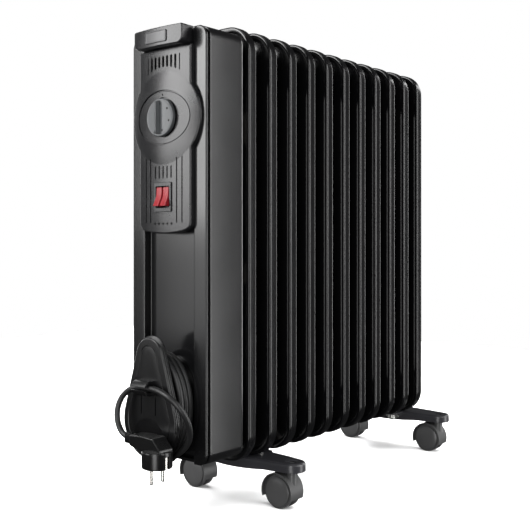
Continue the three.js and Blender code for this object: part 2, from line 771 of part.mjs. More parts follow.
function footGeometry(boltY) {
  const skirt = build(
    [prism(footOutline(0), FOOT_BOTTOM, FOOT_TOP)],
    [prism(footOutline(FOOT_THICK), FOOT_BOTTOM - 1, FOOT_TOP - FOOT_THICK)],
  );
  const bosses = [-FOOT_HALF_SPAN, FOOT_HALF_SPAN].map((x) =>
    cylinderZ(STEM_RADIUS + 4, x, 0, FOOT_BOTTOM, FOOT_TOP - 1, 12),
  );
  const stemHoles = [-FOOT_HALF_SPAN, FOOT_HALF_SPAN].map((x) =>
    cylinderZ(STEM_RADIUS + GAP, x, 0, FOOT_BOTTOM - 1, FOOT_TOP + 1, 12),
  );
  const solids = [skirt, ...bosses];
  const reach = Math.abs(boltY) + 12;
  const tongue = U_BOLT_HALF + 14;
  if (reach > FOOT_HALF_WIDTH) {
    solids.push(box(-tongue, tongue, boltY < 0 ? -reach : 0, boltY < 0 ? 0 : reach, FOOT_TOP - FOOT_THICK, FOOT_TOP));
  }
  const boltHoles = [-U_BOLT_HALF, U_BOLT_HALF].map((x) =>
    cylinderZ(U_BOLT_RADIUS + GAP, x, boltY, FOOT_BOTTOM - 1, FOOT_TOP + 1, 10),
  );
  // The skirt stands clear of the wing nuts.
  const nutRoom = [-U_BOLT_HALF, U_BOLT_HALF].map((x) =>
    cylinderZ(WING_NUT_RADIUS + 1.5, x, boltY, FOOT_BOTTOM - 1, FOOT_TOP - FOOT_THICK, 12),
  );
  return build(solids, [...stemHoles, ...boltHoles, ...nutRoom]);
}

// The U-bolt hangs over the lower header between two fins, and its legs go down through the foot.
function uBoltGeometry() {
  const shape = (r) => {
    const s = new THREE.Shape();
    s.absarc(0, 0, r, 0, 2 * Math.PI, false);
    return s;
  };
  const outer = U_BOLT_HALF + U_BOLT_RADIUS;
  const inner = U_BOLT_HALF - U_BOLT_RADIUS;
  const halfRing = build(
    [slab(shape(outer), -U_BOLT_RADIUS, U_BOLT_RADIUS, 10)],
    [slab(shape(inner), -10, 10, 10), box(-50, 50, -10, 10, -50, 0)],
  );
  const legEnd = FOOT_TOP - FOOT_THICK - WING_NUT_HEIGHT - 2 * GAP - 2 - BOSS_LOW;
  const legs = [-U_BOLT_HALF, U_BOLT_HALF].map((x) => cylinderZ(U_BOLT_RADIUS, x, 0, legEnd, 0.5, 10));
  return build([halfRing, ...legs]);
}

function wingNutGeometry() {
  return build(
    [
      cylinderZ(WING_NUT_RADIUS, 0, 0, 0, WING_NUT_HEIGHT, 12),
      box(-WING_SPAN / 2, WING_SPAN / 2, -1.2, 1.2, 1, WING_NUT_HEIGHT - 1),
    ],
    [cylinderZ(U_BOLT_RADIUS + GAP, 0, 0, -1, WING_NUT_HEIGHT + 1, 10)],
  );
}

const feet = [
  ["front", FRONT_FOOT_Y, FRONT_BOLT_Y],
  ["rear", REAR_FOOT_Y, REAR_BOLT_Y],
];
for (const [place, y, boltY] of feet) {
  const foot = new THREE.Group();
  foot.position.y = y;
  heater.add(foot);
  node(foot, place + "_foot", footGeometry(boltY - y), enamel);
  const uBolt = node(foot, place + "_u_bolt", uBoltGeometry(), steel);
  uBolt.position.set(0, boltY - y, BOSS_LOW);
  for (const [side, x] of [
    ["left", -U_BOLT_HALF],
    ["right", U_BOLT_HALF],
  ]) {
    const nut = node(foot, place + "_wing_nut_" + side, wingNutGeometry(), steel);
    nut.position.set(x, boltY - y, FOOT_TOP - FOOT_THICK - GAP - WING_NUT_HEIGHT);
  }
}

// ---- Casters --------------------------------------------------------------------------------
// One caster around its stem, with its wheels trailing towards -X.
function hoodGeometry() {
  const sector = new THREE.Shape();
  const drop = 0.35; // radians below level at each side
  sector.absarc(0, 0, HOOD_OUTER, -drop, Math.PI + drop, false);
  sector.absarc(0, 0, HOOD_INNER, Math.PI + drop, -drop, true);
  const web = new THREE.Shape();
  web.absarc(0, 0, HOOD_INNER + 0.5, -drop, Math.PI + drop, false);
  const stemTop = FOOT_TOP - AXLE_HEIGHT - 2;
  const bossTop = FOOT_BOTTOM - GAP - AXLE_HEIGHT;
  const shell = build(
    [
      slab(sector, -CASTER_WIDTH / 2, CASTER_WIDTH / 2, 6),
      slab(web, -HOOD_WEB / 2, HOOD_WEB / 2, 6),
      cylinderY(AXLE_RADIUS + 3, 0, -HOOD_WEB / 2, HOOD_WEB / 2, 0, 12),
    ],
    [cylinderY(AXLE_RADIUS + GAP, 0, -20, 20, 0, 12)],
  );
  const boss = build(
    [cylinderZ(STEM_BOSS, CASTER_TRAIL, 0, 10, bossTop, 12)],
    [cylinderY(HOOD_INNER, 0, -20, -HOOD_WEB / 2, 0, 24), cylinderY(HOOD_INNER, 0, HOOD_WEB / 2, 20, 0, 24)],
  );
  return build([shell, boss, cylinderZ(STEM_RADIUS, CASTER_TRAIL, 0, bossTop - 1, stemTop, 12)]);
}

// A wheel closed at its outer face, with a blind bore for the axle; `side` is -1 or 1 along Y.
function wheelGeometry(side) {
  const inner = HOOD_WEB / 2 + GAP;
  const outer = inner + WHEEL_WIDTH;
  const bore = AXLE_RADIUS + GAP;
  const profile = [
    [0, outer],
    [WHEEL_RADIUS * 0.8, outer - 0.4],
    [WHEEL_RADIUS - 0.8, outer - 1.5],
    [WHEEL_RADIUS, outer - 3],
    [WHEEL_RADIUS, inner + 1],
    [WHEEL_RADIUS - 1, inner],
    [bore, inner],
    [bore, outer - 2.5],
    [0, outer - 2.5],
  ];
  return revolve(profile.map(([r, y]) => [r, side * y]), WHEEL_SIDES).rotateY(Math.PI / WHEEL_SIDES);
}

for (const [place, y] of feet) {
  for (const [side, facing] of [
    ["left", -1],
    ["right", 1],
  ]) {
    const caster = new THREE.Group();
    caster.position.set(facing * (FOOT_HALF_SPAN - CASTER_TRAIL), y, AXLE_HEIGHT);
    if (facing < 0) caster.rotation.z = Math.PI;
    heater.add(caster);
    const name = place + "_" + side;
    node(caster, name + "_caster_hood", hoodGeometry(), plastic);
    const axleHalf = HOOD_WEB / 2 + WHEEL_WIDTH - 2.5;
    node(caster, name + "_caster_axle", cylinderY(AXLE_RADIUS, 0, -axleHalf, axleHalf, 0, 10), steel);
    node(caster, name + "_wheel_outer", wheelGeometry(-facing), plastic);
    node(caster, name + "_wheel_inner", wheelGeometry(facing), plastic);
  }
}

export default heater;
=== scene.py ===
"""Oil filled radiator heater: the finished surfaces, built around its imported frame.

Sizes are in millimetres, measured from the control housing: x to the right, y back from the front
cover's face and z up from the floor. at() turns them into the frame's own metres.
"""

import math

import bmesh
import bpy
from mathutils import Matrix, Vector


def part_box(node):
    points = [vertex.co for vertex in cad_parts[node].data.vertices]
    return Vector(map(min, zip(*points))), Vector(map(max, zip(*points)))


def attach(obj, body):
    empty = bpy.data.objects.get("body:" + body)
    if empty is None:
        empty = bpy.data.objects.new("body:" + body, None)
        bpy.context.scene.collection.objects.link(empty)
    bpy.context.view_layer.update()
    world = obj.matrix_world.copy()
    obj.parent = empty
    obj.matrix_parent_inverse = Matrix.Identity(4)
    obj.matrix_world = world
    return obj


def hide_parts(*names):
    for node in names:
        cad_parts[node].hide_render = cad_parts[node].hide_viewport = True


bl_info = {
    "name": "Oil Radiator Builder",
    "version": (1, 0, 0),
    "blender": (4, 5, 0),
    "location": "View3D > Sidebar > Heater",
    "description": "Builds an oil filled radiator heater around its packed frame",
    "category": "Object",
}

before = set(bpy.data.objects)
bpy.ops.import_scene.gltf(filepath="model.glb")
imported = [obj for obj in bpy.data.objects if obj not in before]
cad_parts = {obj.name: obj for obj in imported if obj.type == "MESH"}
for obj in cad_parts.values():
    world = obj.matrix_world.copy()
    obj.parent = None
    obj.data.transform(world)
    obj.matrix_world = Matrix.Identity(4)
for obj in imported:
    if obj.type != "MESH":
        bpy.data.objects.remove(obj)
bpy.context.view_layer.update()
MM = 0.001
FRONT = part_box("front_cover")[0].y
BODY = "heater"


def at(x, y, z):
    """A point given in millimetres, in the frame's metres."""
    return Vector((x * MM, FRONT + y * MM, z * MM))


def near(node):
    """A CAD node's lowest and highest corners, in millimetres from the front cover's face."""
    low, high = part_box(node)
    return [Vector((p.x / MM, (p.y - FRONT) / MM, p.z / MM)) for p in (low, high)]


def middle_of(node):
    """The middle of a CAD node's box, in the same millimetres."""
    return [(a + b) / 2 for a, b in zip(*near(node))]


def placed(name, data):
    """A new object in the scene, at the origin."""
    obj = bpy.data.objects.new(name, data)
    bpy.context.scene.collection.objects.link(obj)
    return obj


# ---- Sizes and colours that a user would change ---------------------------------------------


def length(name, description, millimetres):
    """A length the user may change, kept in metres."""
    metres = millimetres * MM
    return bpy.props.FloatProperty(
        name=name, description=description, default=metres, min=0.0, unit="LENGTH", subtype="DISTANCE"
    )


def number(name, description, default, least=1):
    """A count the user may change."""
    return bpy.props.IntProperty(name=name, description=description, default=default, min=least)


def colour(name, description, value):
    """A base colour the user may change."""
    return bpy.props.FloatVectorProperty(
        name=name, description=description, default=value, subtype="COLOR", size=3, min=0.0, max=1.0
    )


class HeaterSizes(bpy.types.PropertyGroup):
    """Sizes and counts of the pieces that repeat or follow a rule"""

    fin_count: number("Fins", "Pressed fins in the radiator", 11, 2)
    fin_rim: length("Fin rim", "Width of a fin's rolled rim", 11.0)
    cord_width: length("Lead diameter", "Diameter of the mains lead", 7.6)
    cord_turns: number("Lead turns", "Turns of the lead wound on the reel", 3)
    slot_count: number("Vent slots", "Open slots above the dial", 7)
    slot_pitch: length("Slot pitch", "Between the middles of two vent slots", 7.2)
    slot_width: length("Slot width", "Width of a vent slot", 3.8)
    relief_ribs: number("Relief ribs", "Ribs on each row of the plug's strain relief", 5)


class HeaterColours(bpy.types.PropertyGroup):
    """Base colours of the finishes"""

    enamel: colour("Enamel", "Fins and feet", (0.0035, 0.0035, 0.004))
    housing: colour("Housing", "Powder coated sheet", (0.006, 0.006, 0.0065))
    plastic: colour("Plastic", "Panel and handle", (0.012, 0.012, 0.013))
    knob: colour("Knob", "Dial plastic", (0.115, 0.122, 0.128))
    lens: colour("Lens", "Rocker lens", (0.34, 0.018, 0.026))


# ---- Shapes ---------------------------------------------------------------------------------


def arc(cx, cy, r, start, end, steps):
    """Points of an arc, angles in degrees."""
    turn = [math.radians(start + (end - start) * i / steps) for i in range(steps + 1)]
    return [(cx + r * math.cos(t), cy + r * math.sin(t)) for t in turn]


def rounded(x0, x1, y0, y1, radius, steps=8):
    """A rounded rectangle as a function of its inset."""

    def outline(inset=0.0):
        r = max(radius - inset, 0.15)
        a, b, c, d = x0 + inset + r, x1 - inset - r, y0 + inset + r, y1 - inset - r
        corners = ((b, c, -90), (b, d, 0), (a, d, 90), (a, c, 180))
        return [p for cx, cy, t in corners for p in arc(cx, cy, r, t, t + 90, steps)]

    return outline


def circle(radius, cx=0.0, cy=0.0, steps=48):
    """A circle as a function of its inset."""
    return lambda inset=0.0: arc(cx, cy, radius - inset, 0, 360, steps)[:-1]


def oval(a, b, cy, steps=72):
    """An ellipse on the middle line as a function of its inset."""

    def outline(inset=0.0):
        turn = [2 * math.pi * i / steps for i in range(steps)]
        return [((a - inset) * math.cos(t), cy + (b - inset) * math.sin(t)) for t in turn]

    return outline


def teardrop(low_z, low_r, top_z, top_r):
    """The outline around two circles on the middle line, as a function of its inset."""
    lean = math.degrees(math.asin((low_r - top_r) / (top_z - low_z)))

    def outline(inset=0.0):
        lower = arc(0, low_z, low_r - inset, 180 - lean, 360 + lean, 44)
        return lower + arc(0, top_z, top_r - inset, lean, 180 - lean, 32)

    return outline


def quadratic(a, b, c, steps=6):
    """Points of a quadratic curve, without its end."""
    out = []
    for i in range(steps):
        t = i / steps
        w = ((1 - t) ** 2, 2 * t * (1 - t), t * t)
        out.append(tuple(w[0] * a[k] + w[1] * b[k] + w[2] * c[k] for k in range(2)))
    return out


def round_over(face, radius, inward, steps=4):
    """Levels (inset, height) from the side wall to a face; inward is +1 where the wall lies above it."""
    out = []
    for i in range(steps + 1):
        t = math.pi / 2 * i / steps
        out.append((radius * (1 - math.cos(t)), face + inward * radius * (1 - math.sin(t))))
    return out


class Shell:
    """Points and faces of a piece, in millimetres."""

    PLANES = {
        "XZ": lambda u, v, h: (u, h, v),
        "XY": lambda u, v, h: (u, v, h),
        "YZ": lambda u, v, h: (h, u, v),
    }

    def __init__(self):
        self.points = []
        self.faces = []

    def loop(self, points):
        first = len(self.points)
        self.points += points
        return list(range(first, len(self.points)))

    def skin(self, a, b):
        for i in range(len(a)):
            j = (i + 1) % len(a)
            self.faces.append((a[i], a[j], b[j], b[i]))

    def stack(self, outline, levels, plane="XZ", closed=False, bend=None):
        """Skins an outline through levels of (inset, height), capped unless the levels close up."""
        place = self.PLANES[plane]
        loops = []
        for inset, height in levels:
            ring = [place(u, v, height) for u, v in outline(inset)]
            loops.append(self.loop([bend(p) for p in ring] if bend else ring))
        for a, b in zip(loops, loops[1:]):
            self.skin(a, b)
        if closed:
            self.skin(loops[-1], loops[0])
        else:
            self.faces += [tuple(reversed(loops[0])), tuple(loops[-1])]
        return self

    def lathe(self, profile, centre, axis="Y", segments=48, closed=False):
        """Turns a profile of (radius, distance) about an axis; it starts and ends on the axis or closes."""
        rings = []
        for r, d in profile:
            count = 1 if r == 0 else segments
            ring = []
            for i in range(count):
                t = 2 * math.pi * i / segments
                u, v = r * math.cos(t), r * math.sin(t)
                step = {"X": (d, u, v), "Y": (u, d, v), "Z": (u, v, d)}[axis]
                ring.append(tuple(c + s for c, s in zip(centre, step)))
            rings.append(self.loop(ring))
        pairs = list(zip(rings, rings[1:])) + ([(rings[-1], rings[0])] if closed else [])
        for a, b in pairs:
            if len(a) == 1 and len(b) == 1:
                continue
            for i in range(segments):
                j = (i + 1) % segments
                quad = (a[i % len(a)], a[j % len(a)], b[j % len(b)], b[i % len(b)])
                self.faces.append(tuple(dict.fromkeys(quad)))
        return self

    def make(self, name):
        """An object with these faces, doubles merged and facing outwards."""
        mesh = bpy.data.meshes.new(name)
        mesh.from_pydata([at(*p) for p in self.points], [], self.faces)
        edit = bmesh.new()
        edit.from_mesh(mesh)
        bmesh.ops.remove_doubles(edit, verts=edit.verts, dist=0.002 * MM)
        bmesh.ops.recalc_face_normals(edit, faces=edit.faces)
        edit.to_mesh(mesh)
        edit.free()
        return placed(name, mesh)


def skinned(name, outline, levels, plane="XZ", closed=False, bend=None):
    """An object skinned through levels of (inset, height)."""
    return Shell().stack(outline, levels, plane, closed, bend).make(name)


def turned(name, profile, centre, axis="Y", segments=48, closed=False):
    """An object turned from a profile of (radius, distance)."""
    return Shell().lathe(profile, centre, axis, segments, closed).make(name)


def evaluated_mesh(obj):
    """What an object's modifiers or curve settings make of it, as a plain mesh."""
    bpy.context.view_layer.update()
    graph = bpy.context.evaluated_depsgraph_get()
    return bpy.data.meshes.new_from_object(obj.evaluated_get(graph), depsgraph=graph)


def settle(obj):
    """Replaces an object's mesh by what its modifiers make of it, and removes them."""
    mesh = evaluated_mesh(obj)
    obj.modifiers.clear()
    old = obj.data
    obj.data = mesh
    bpy.data.meshes.remove(old)
    return obj


def bevelled(obj, width, segments=3, angle=30.0):
    """Rounds the edges sharper than an angle."""
    bevel = obj.modifiers.new("bevel", "BEVEL")
    bevel.width = width * MM
    bevel.segments = segments
    bevel.limit_method = "ANGLE"
    bevel.angle_limit = math.radians(angle)
    bevel.use_clamp_overlap = True
    return settle(obj)


def combine(obj, others, operation):
    """Joins other shapes to obj, or cuts them from it, and removes them."""
    for other in others:
        boolean = obj.modifiers.new("boolean", "BOOLEAN")
        boolean.solver = "EXACT"
        boolean.operation = operation
        boolean.object = other
        settle(obj)
    for other in others:
        bpy.data.objects.remove(other)
    return obj


def bow(obj, curve, front, step=4):
    """Bows what lies before a line: cuts it into upright strips and sets each back by curve * x * x."""
    edit = bmesh.new()
    edit.from_mesh(obj.data)
    reach = int(max(v.co.x for v in edit.verts) / MM)
    for x in range(-reach, reach + 1, step):
        parts = [*edit.verts, *edit.edges, *edit.faces]
        bmesh.ops.bisect_plane(edit, geom=parts, dist=1e-7, plane_co=(x * MM, 0, 0), plane_no=(1, 0, 0))
    for v in edit.verts:
        if v.co.y < FRONT + front * MM:
            v.co.y += curve * v.co.x**2 / MM
    edit.to_mesh(obj.data)
    edit.free()
    return obj


def joined(name, objects):
    """One object from several closed shapes that stay apart."""
    edit = bmesh.new()
    for o in objects:
        edit.from_mesh(o.data)
    mesh = bpy.data.meshes.new(name)
    edit.to_mesh(mesh)
    edit.free()
    for o in objects:
        bpy.data.objects.remove(o)
    return placed(name, mesh)


def tube(name, path, radius, resolution):
    """A round curve of one open spline; its points and radius are in metres."""
    curve = bpy.data.curves.new(name, "CURVE")
    curve.dimensions = "3D"
    curve.bevel_depth = radius
    curve.bevel_resolution = resolution
    spline = curve.splines.new("POLY")
    spline.points.add(len(path) - 1)
    for point, p in zip(spline.points, path):
        point.co = (*p, 1)
    spline.use_smooth = True
    return curve


def prism(outline, low, high, plane="XZ"):
    """A straight solid on an outline given as a function of its inset."""
    return skinned("prism", outline, [(0, low), (0, high)], plane)


def polygon(points):
    """A fixed outline, for prism()."""
    return lambda inset=0.0: points


def block(x0, x1, y0, y1, z0, z1, radius=0.0):
    """A box with its upright edges along y rounded."""
    if radius:
        return prism(rounded(x0, x1, z0, z1, radius, 5), y0, y1)
    return prism(polygon([(x0, z0), (x1, z0), (x1, z1), (x0, z1)]), y0, y1)


def finished(obj, body, slot, material, *nodes, angle=32.0):
    """Shades a piece, gives it its finish and puts it on its body in place of CAD nodes."""
    mesh = obj.data
    mesh.polygons.foreach_set("use_smooth", [True] * len(mesh.polygons))
    mesh.set_sharp_from_angle(angle=math.radians(angle))
    weighted = obj.modifiers.new("weighted", "WEIGHTED_NORMAL")
    weighted.keep_sharp = True
    settle(obj)
    obj.data.materials.clear()
    obj.data.materials.append(material)
    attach(obj, body)
    if nodes:
        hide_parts(*nodes)
    return obj


# ---- Geometry Nodes -------------------------------------------------------------------------


class Tree:
    """A node tree that is built up call by call."""

    def __init__(self, tree):
        self.tree = tree

    def node(self, kind, settings=(), **links):
        """Adds a node; settings are set first, then values or links by input name or number."""
        made = self.tree.nodes.new(kind)
        for key, value in dict(settings).items():
            setattr(made, key, value)
        for key, value in links.items():
            self.feed(made.inputs[int(key[1:]) if key[1:].isdigit() else key.replace("_", " ")], value)
        return made

    def feed(self, socket, value):
        if isinstance(value, Value):
            value = value.socket
        if isinstance(value, bpy.types.NodeSocket):
            self.tree.links.new(value, socket)
        else:
            socket.default_value = value


class Value:
    """A number flowing through a tree; Python's operators add Math nodes."""

    def __init__(self, graph, socket):
        self.graph = graph
        self.socket = socket

    def _math(self, operation, *values):
        links = {"i%d" % i: v for i, v in enumerate(values)}
        made = self.graph.node("ShaderNodeMath", {"operation": operation}, **links)
        return Value(self.graph, made.outputs[0])

    def __add__(self, other):
        return self._math("ADD", self, other)

    def __radd__(self, other):
        return self._math("ADD", other, self)

    def __sub__(self, other):
        return self._math("SUBTRACT", self, other)

    def __rsub__(self, other):
        return self._math("SUBTRACT", other, self)

    def __mul__(self, other):
        return self._math("MULTIPLY", self, other)

    def __rmul__(self, other):
        return self._math("MULTIPLY", other, self)

    def root(self):
        return self._math("SQRT", self)

    def below(self, other):
        return self._math("LESS_THAN", self, other)


ROW_INPUTS = [
    ("Shape", "NodeSocketGeometry"),
    ("Count", "NodeSocketInt"),
    ("Start", "NodeSocketVector"),
    ("Step", "NodeSocketVector"),
    ("Finish", "NodeSocketMaterial"),
]
ARC_INPUTS = [
    ("Split", "NodeSocketFloat"),
    ("Foot", "NodeSocketFloat"),
    ("Arc centre", "NodeSocketFloat"),
    ("Arc radius", "NodeSocketFloat"),
]


def row_tree(to_arc):
    """A tree that repeats a shape along a line; it can also pull each copy's lower end down to an arc."""
    tree = bpy.data.node_groups.new("row_to_arc" if to_arc else "row", "GeometryNodeTree")
    for label, kind in ROW_INPUTS + (ARC_INPUTS if to_arc else []):
        tree.interface.new_socket(name=label, in_out="INPUT", socket_type=kind)
    tree.interface.new_socket(name="Row", in_out="OUTPUT", socket_type="NodeSocketGeometry")
    g = Tree(tree)
    given = g.node("NodeGroupInput").outputs
    ends = {"Count": given["Count"], "Start Location": given["Start"], "Offset": given["Step"]}
    line = g.node("GeometryNodeMeshLine", {"mode": "OFFSET"}, **ends).outputs[0]
    copies = g.node("GeometryNodeInstanceOnPoints", Points=line, Instance=given["Shape"]).outputs[0]
    row = g.node("GeometryNodeRealizeInstances", Geometry=copies).outputs[0]
    if to_arc:
        place = g.node("ShaderNodeSeparateXYZ", Vector=g.node("GeometryNodeInputPosition").outputs[0]).outputs
        x = Value(g, place["X"])
        radius = Value(g, given["Arc radius"])
        drop = Value(g, given["Arc centre"]) + (radius * radius - x * x).root() - Value(g, given["Foot"])
        lower = Value(g, place["Z"]).below(Value(g, given["Split"]))
        shift = g.node("ShaderNodeCombineXYZ", X=0.0, Y=0.0, Z=drop).outputs[0]
        pulled = {"Geometry": row, "Selection": lower, "Offset": shift}
        row = g.node("GeometryNodeSetPosition", **pulled).outputs[0]
        row = g.node("GeometryNodeRealizeInstances", Geometry=row).outputs[0]
    dressed = g.node("GeometryNodeSetMaterial", Geometry=row, Material=given["Finish"]).outputs[0]
    g.node("NodeGroupOutput", Row=dressed)
    return tree


def row_of(obj, count, start, step, finish=None, pull=None):
    """Repeats an object's mesh along a line with Geometry Nodes; pull holds the arc's inputs."""
    tree = row_tree(bool(pull))
    modifier = obj.modifiers.new("row", "NODES")
    modifier.node_group = tree
    values = {"Count": count, "Start": Vector(start) * MM, "Step": Vector(step) * MM, "Finish": finish}
    values.update({key: v * MM for key, v in (pull or {}).items()})
    for item in tree.interface.items_tree:
        if item.in_out == "INPUT" and values.get(item.name) is not None:
            modifier[item.identifier] = values[item.name]
    return settle(obj)


# ---- Finishes -------------------------------------------------------------------------------


class Finish(Tree):
    """A material under construction, with patterns in Object coordinates."""

    def __init__(self, name):
        self.material = bpy.data.materials.new(name)
        self.material.use_nodes = True
        super().__init__(self.material.node_tree)
        self.shader = self.tree.nodes["Principled BSDF"]
        self.place = self.node("ShaderNodeTexCoord").outputs["Object"]

    def noise(self, size, detail=3.0, stretch=(1, 1, 1)):
        """Noise whose grains are about size millimetres across."""
        mapped = self.node("ShaderNodeMapping", Vector=self.place, Scale=stretch)
        links = {"Vector": mapped.outputs[0], "Scale": 1 / (size * MM), "Detail": detail}
        return Value(self, self.node("ShaderNodeTexNoise", **links).outputs["Fac"])

    def mix(self, factor, a, b):
        """A colour between a and b."""
        colours = {"data_type": "RGBA"}
        made = self.node("ShaderNodeMix", colours, i0=factor, i6=(*a, 1), i7=(*b, 1))
        return made.outputs[2]

    def set(self, **values):
        for key, value in values.items():
            self.feed(self.shader.inputs[key.replace("_", " ")], value)
        return self

    def bump(self, height, depth):
        """Raises the surface by up to depth millimetres."""
        links = {"Height": height, "Distance": depth * MM, "Strength": 1.0}
        return self.set(Normal=self.node("ShaderNodeBump", **links).outputs[0])


def scaled(rgb, share):
    return tuple(c * share for c in rgb)


def coated_metal(name, rgb, roughness, orange_peel, depth):
    """Baked enamel or powder coat: a soft orange peel and a faint film of dust in its tone."""
    f = Finish(name)
    cloud = f.noise(60, 2.0)
    fine = f.noise(orange_peel)
    f.set(Base_Color=f.mix(cloud, scaled(rgb, 0.8), scaled(rgb, 1.3)))
    f.set(Roughness=roughness + (cloud - 0.5) * 0.06 + (fine - 0.5) * 0.05)
    f.shader.inputs["Coat Roughness"].default_value = 0.14
    f.shader.inputs["Coat Weight"].default_value = 0.25
    return f.bump(fine, depth).material


def moulded(name, rgb, roughness, grain, depth):
    """Moulded plastic with its spark-eroded grain and a slightly uneven gloss."""
    f = Finish(name)
    cloud = f.noise(25, 2.0)
    fine = f.noise(grain, 2.0)
    f.set(Base_Color=f.mix(cloud, scaled(rgb, 0.86), scaled(rgb, 1.16)))
    f.set(Roughness=roughness + (cloud - 0.5) * 0.08)
    return f.bump(fine, depth).material


def metal(name, rgb, roughness, size, stretch=(1, 1, 1)):
    """Plated or drawn metal with fine streaks."""
    f = Finish(name)
    streaks = f.noise(size, 4.0, stretch)
    f.set(Base_Color=f.mix(streaks, scaled(rgb, 0.82), rgb))
    f.set(Roughness=roughness + (streaks - 0.5) * 0.16)
    f.shader.inputs["Metallic"].default_value = 1.0
    return f.bump(streaks, 0.004).material


def lit_lens(name, rgb):
    """Red lens plastic, moulded clear over a lit core."""
    f = Finish(name)
    cloud = f.noise(6, 2.0)
    f.set(Base_Color=f.mix(cloud, scaled(rgb, 0.75), rgb))
    f.set(Emission_Color=f.mix(cloud, scaled(rgb, 0.5), rgb))
    f.set(Roughness=0.2 + cloud * 0.1)
    for socket, value in (("Emission Strength", 0.03), ("IOR", 1.42)):
        f.shader.inputs[socket].default_value = value
    return f.material


def finishes():
    """Every finish by the name of the piece group that wears it."""
    c = bpy.context.scene.heater_colours
    return {
        "enamel": coated_metal("black_enamel", tuple(c.enamel), 0.20, 2.2, 0.001),
        # the feet wear the fins' black enamel ten times lighter: painted light, for the light the lamps give
        # too little of low down
        "foot": coated_metal("foot_enamel_painted_light", scaled(c.enamel, 10.0), 0.36, 1.8, 0.004),
        "housing": coated_metal("housing_coat", tuple(c.housing), 0.22, 1.4, 0.002),
        "panel": moulded("panel_plastic", tuple(c.plastic), 0.26, 0.5, 0.02),
        "reel": moulded("reel_plastic_grain", scaled(c.plastic, 0.35), 0.3, 0.6, 0.03),
        "knob": moulded("knob_plastic", scaled(c.knob, 0.6), 0.24, 0.4, 0.008),
        "mark": moulded("mark_paint", (0.008, 0.008, 0.008), 0.85, 0.4, 0.004),
        "badge": moulded("badge_plastic_grain", (0.06, 0.06, 0.062), 0.30, 0.4, 0.006),
        "lens": lit_lens("rocker_lens", tuple(c.lens)),
        "jacket": moulded("lead_jacket", (0.012, 0.012, 0.0125), 0.44, 1.2, 0.02),
        "plug": moulded("plug_rubber_grain", (0.004, 0.004, 0.0042), 0.28, 0.5, 0.02),
        "caster": moulded("caster_nylon", (0.095, 0.095, 0.096), 0.3, 0.8, 0.015),
        "zinc": metal("zinc_plate", (0.62, 0.62, 0.60), 0.34, 1.5),
        "nickel": metal("nickel_plate", (0.80, 0.78, 0.74), 0.18, 0.6, (1, 1, 0.1)),
        "steatite": moulded("steatite_grain", (0.62, 0.59, 0.52), 0.7, 0.7, 0.02),
    }


FINISHES = {}


# ---- Camera, floor and light ----------------------------------------------------------------

VIEW_TURN = 39.727  # degrees the camera looks round from straight at the controls
VIEW_PLACE = (0.7982, -1.0253, 0.3618)
VIEW_LENS, VIEW_SENSOR = 57.89, 36.0
VIEW_SHIFT = -0.0483
STUDIO_FILL = 0.035  # what the white surroundings add to the light
FLOOR_REACH = 1900
SOFTBOXES = [  # name, place and size in metres, radiance
    ("front_left_high", (-0.58, -1.185, 1.2), (0.62, 0.9), 9.0),
    ("front_left_middle", (-0.58, -1.185, 0.575), (0.62, 0.35), 6.9),
    ("front_left_low", (-0.58, -1.185, 0.25), (0.62, 0.3), 1.6),
    ("low_front", (0.95, -1.95, 0.4), (0.8, 2.0), 5.0),
    ("right_panel", (1.84, 0.93, 0.8), (0.8, 2.7), 5.8),
    ("right_strip", (2.1, -0.3, 1.3), (0.3, 2.0), 7.0),
    ("back", (0.45, 2.6, 0.8), (0.8, 2.4), 4.0),
    ("left_panel", (-1.84, 0.93, 0.8), (0.9, 2.4), 4.0),
    ("left_side", (-2.3, -0.1, 0.9), (1.2, 2.2), 1.4),
]


def softbox(name, place, size, radiance, only=None, down=False):
    """A light of an even radiance that faces the heater, or straight down; it may light one piece only."""
    light = bpy.data.lights.new(name, "AREA")
    light.shape = "RECTANGLE"
    light.size, light.size_y = size
    light.energy = radiance * math.pi * size[0] * size[1]
    obj = placed(name, light)
    obj.location = place
    facing = Vector((0, 0, -1)) if down else Vector((-place[0], -place[1], 0))
    obj.rotation_euler = facing.to_track_quat("-Z", "Y").to_euler()
    obj.visible_camera = False
    if only:
        receivers = bpy.data.collections.new(name + "_receivers")
        receivers.objects.link(only)
        obj.light_linking.receiver_collection = receivers


def white_world():
    """A white backdrop that lights the heater only faintly."""
    world = bpy.data.worlds.new("studio")
    world.use_nodes = True
    g = Tree(world.node_tree)
    shown = world.node_tree.nodes["Background"]
    shown.inputs["Color"].default_value = (1, 1, 1, 1)
    fill = g.node("ShaderNodeBackground", Color=(1, 1, 1, 1), Strength=STUDIO_FILL).outputs[0]
    seen = g.node("ShaderNodeLightPath").outputs["Is Camera Ray"]
    mixed = g.node("ShaderNodeMixShader", i0=seen, i1=fill, i2=shown.outputs[0]).outputs[0]
    g.feed(world.node_tree.nodes["World Output"].inputs["Surface"], mixed)
    return world


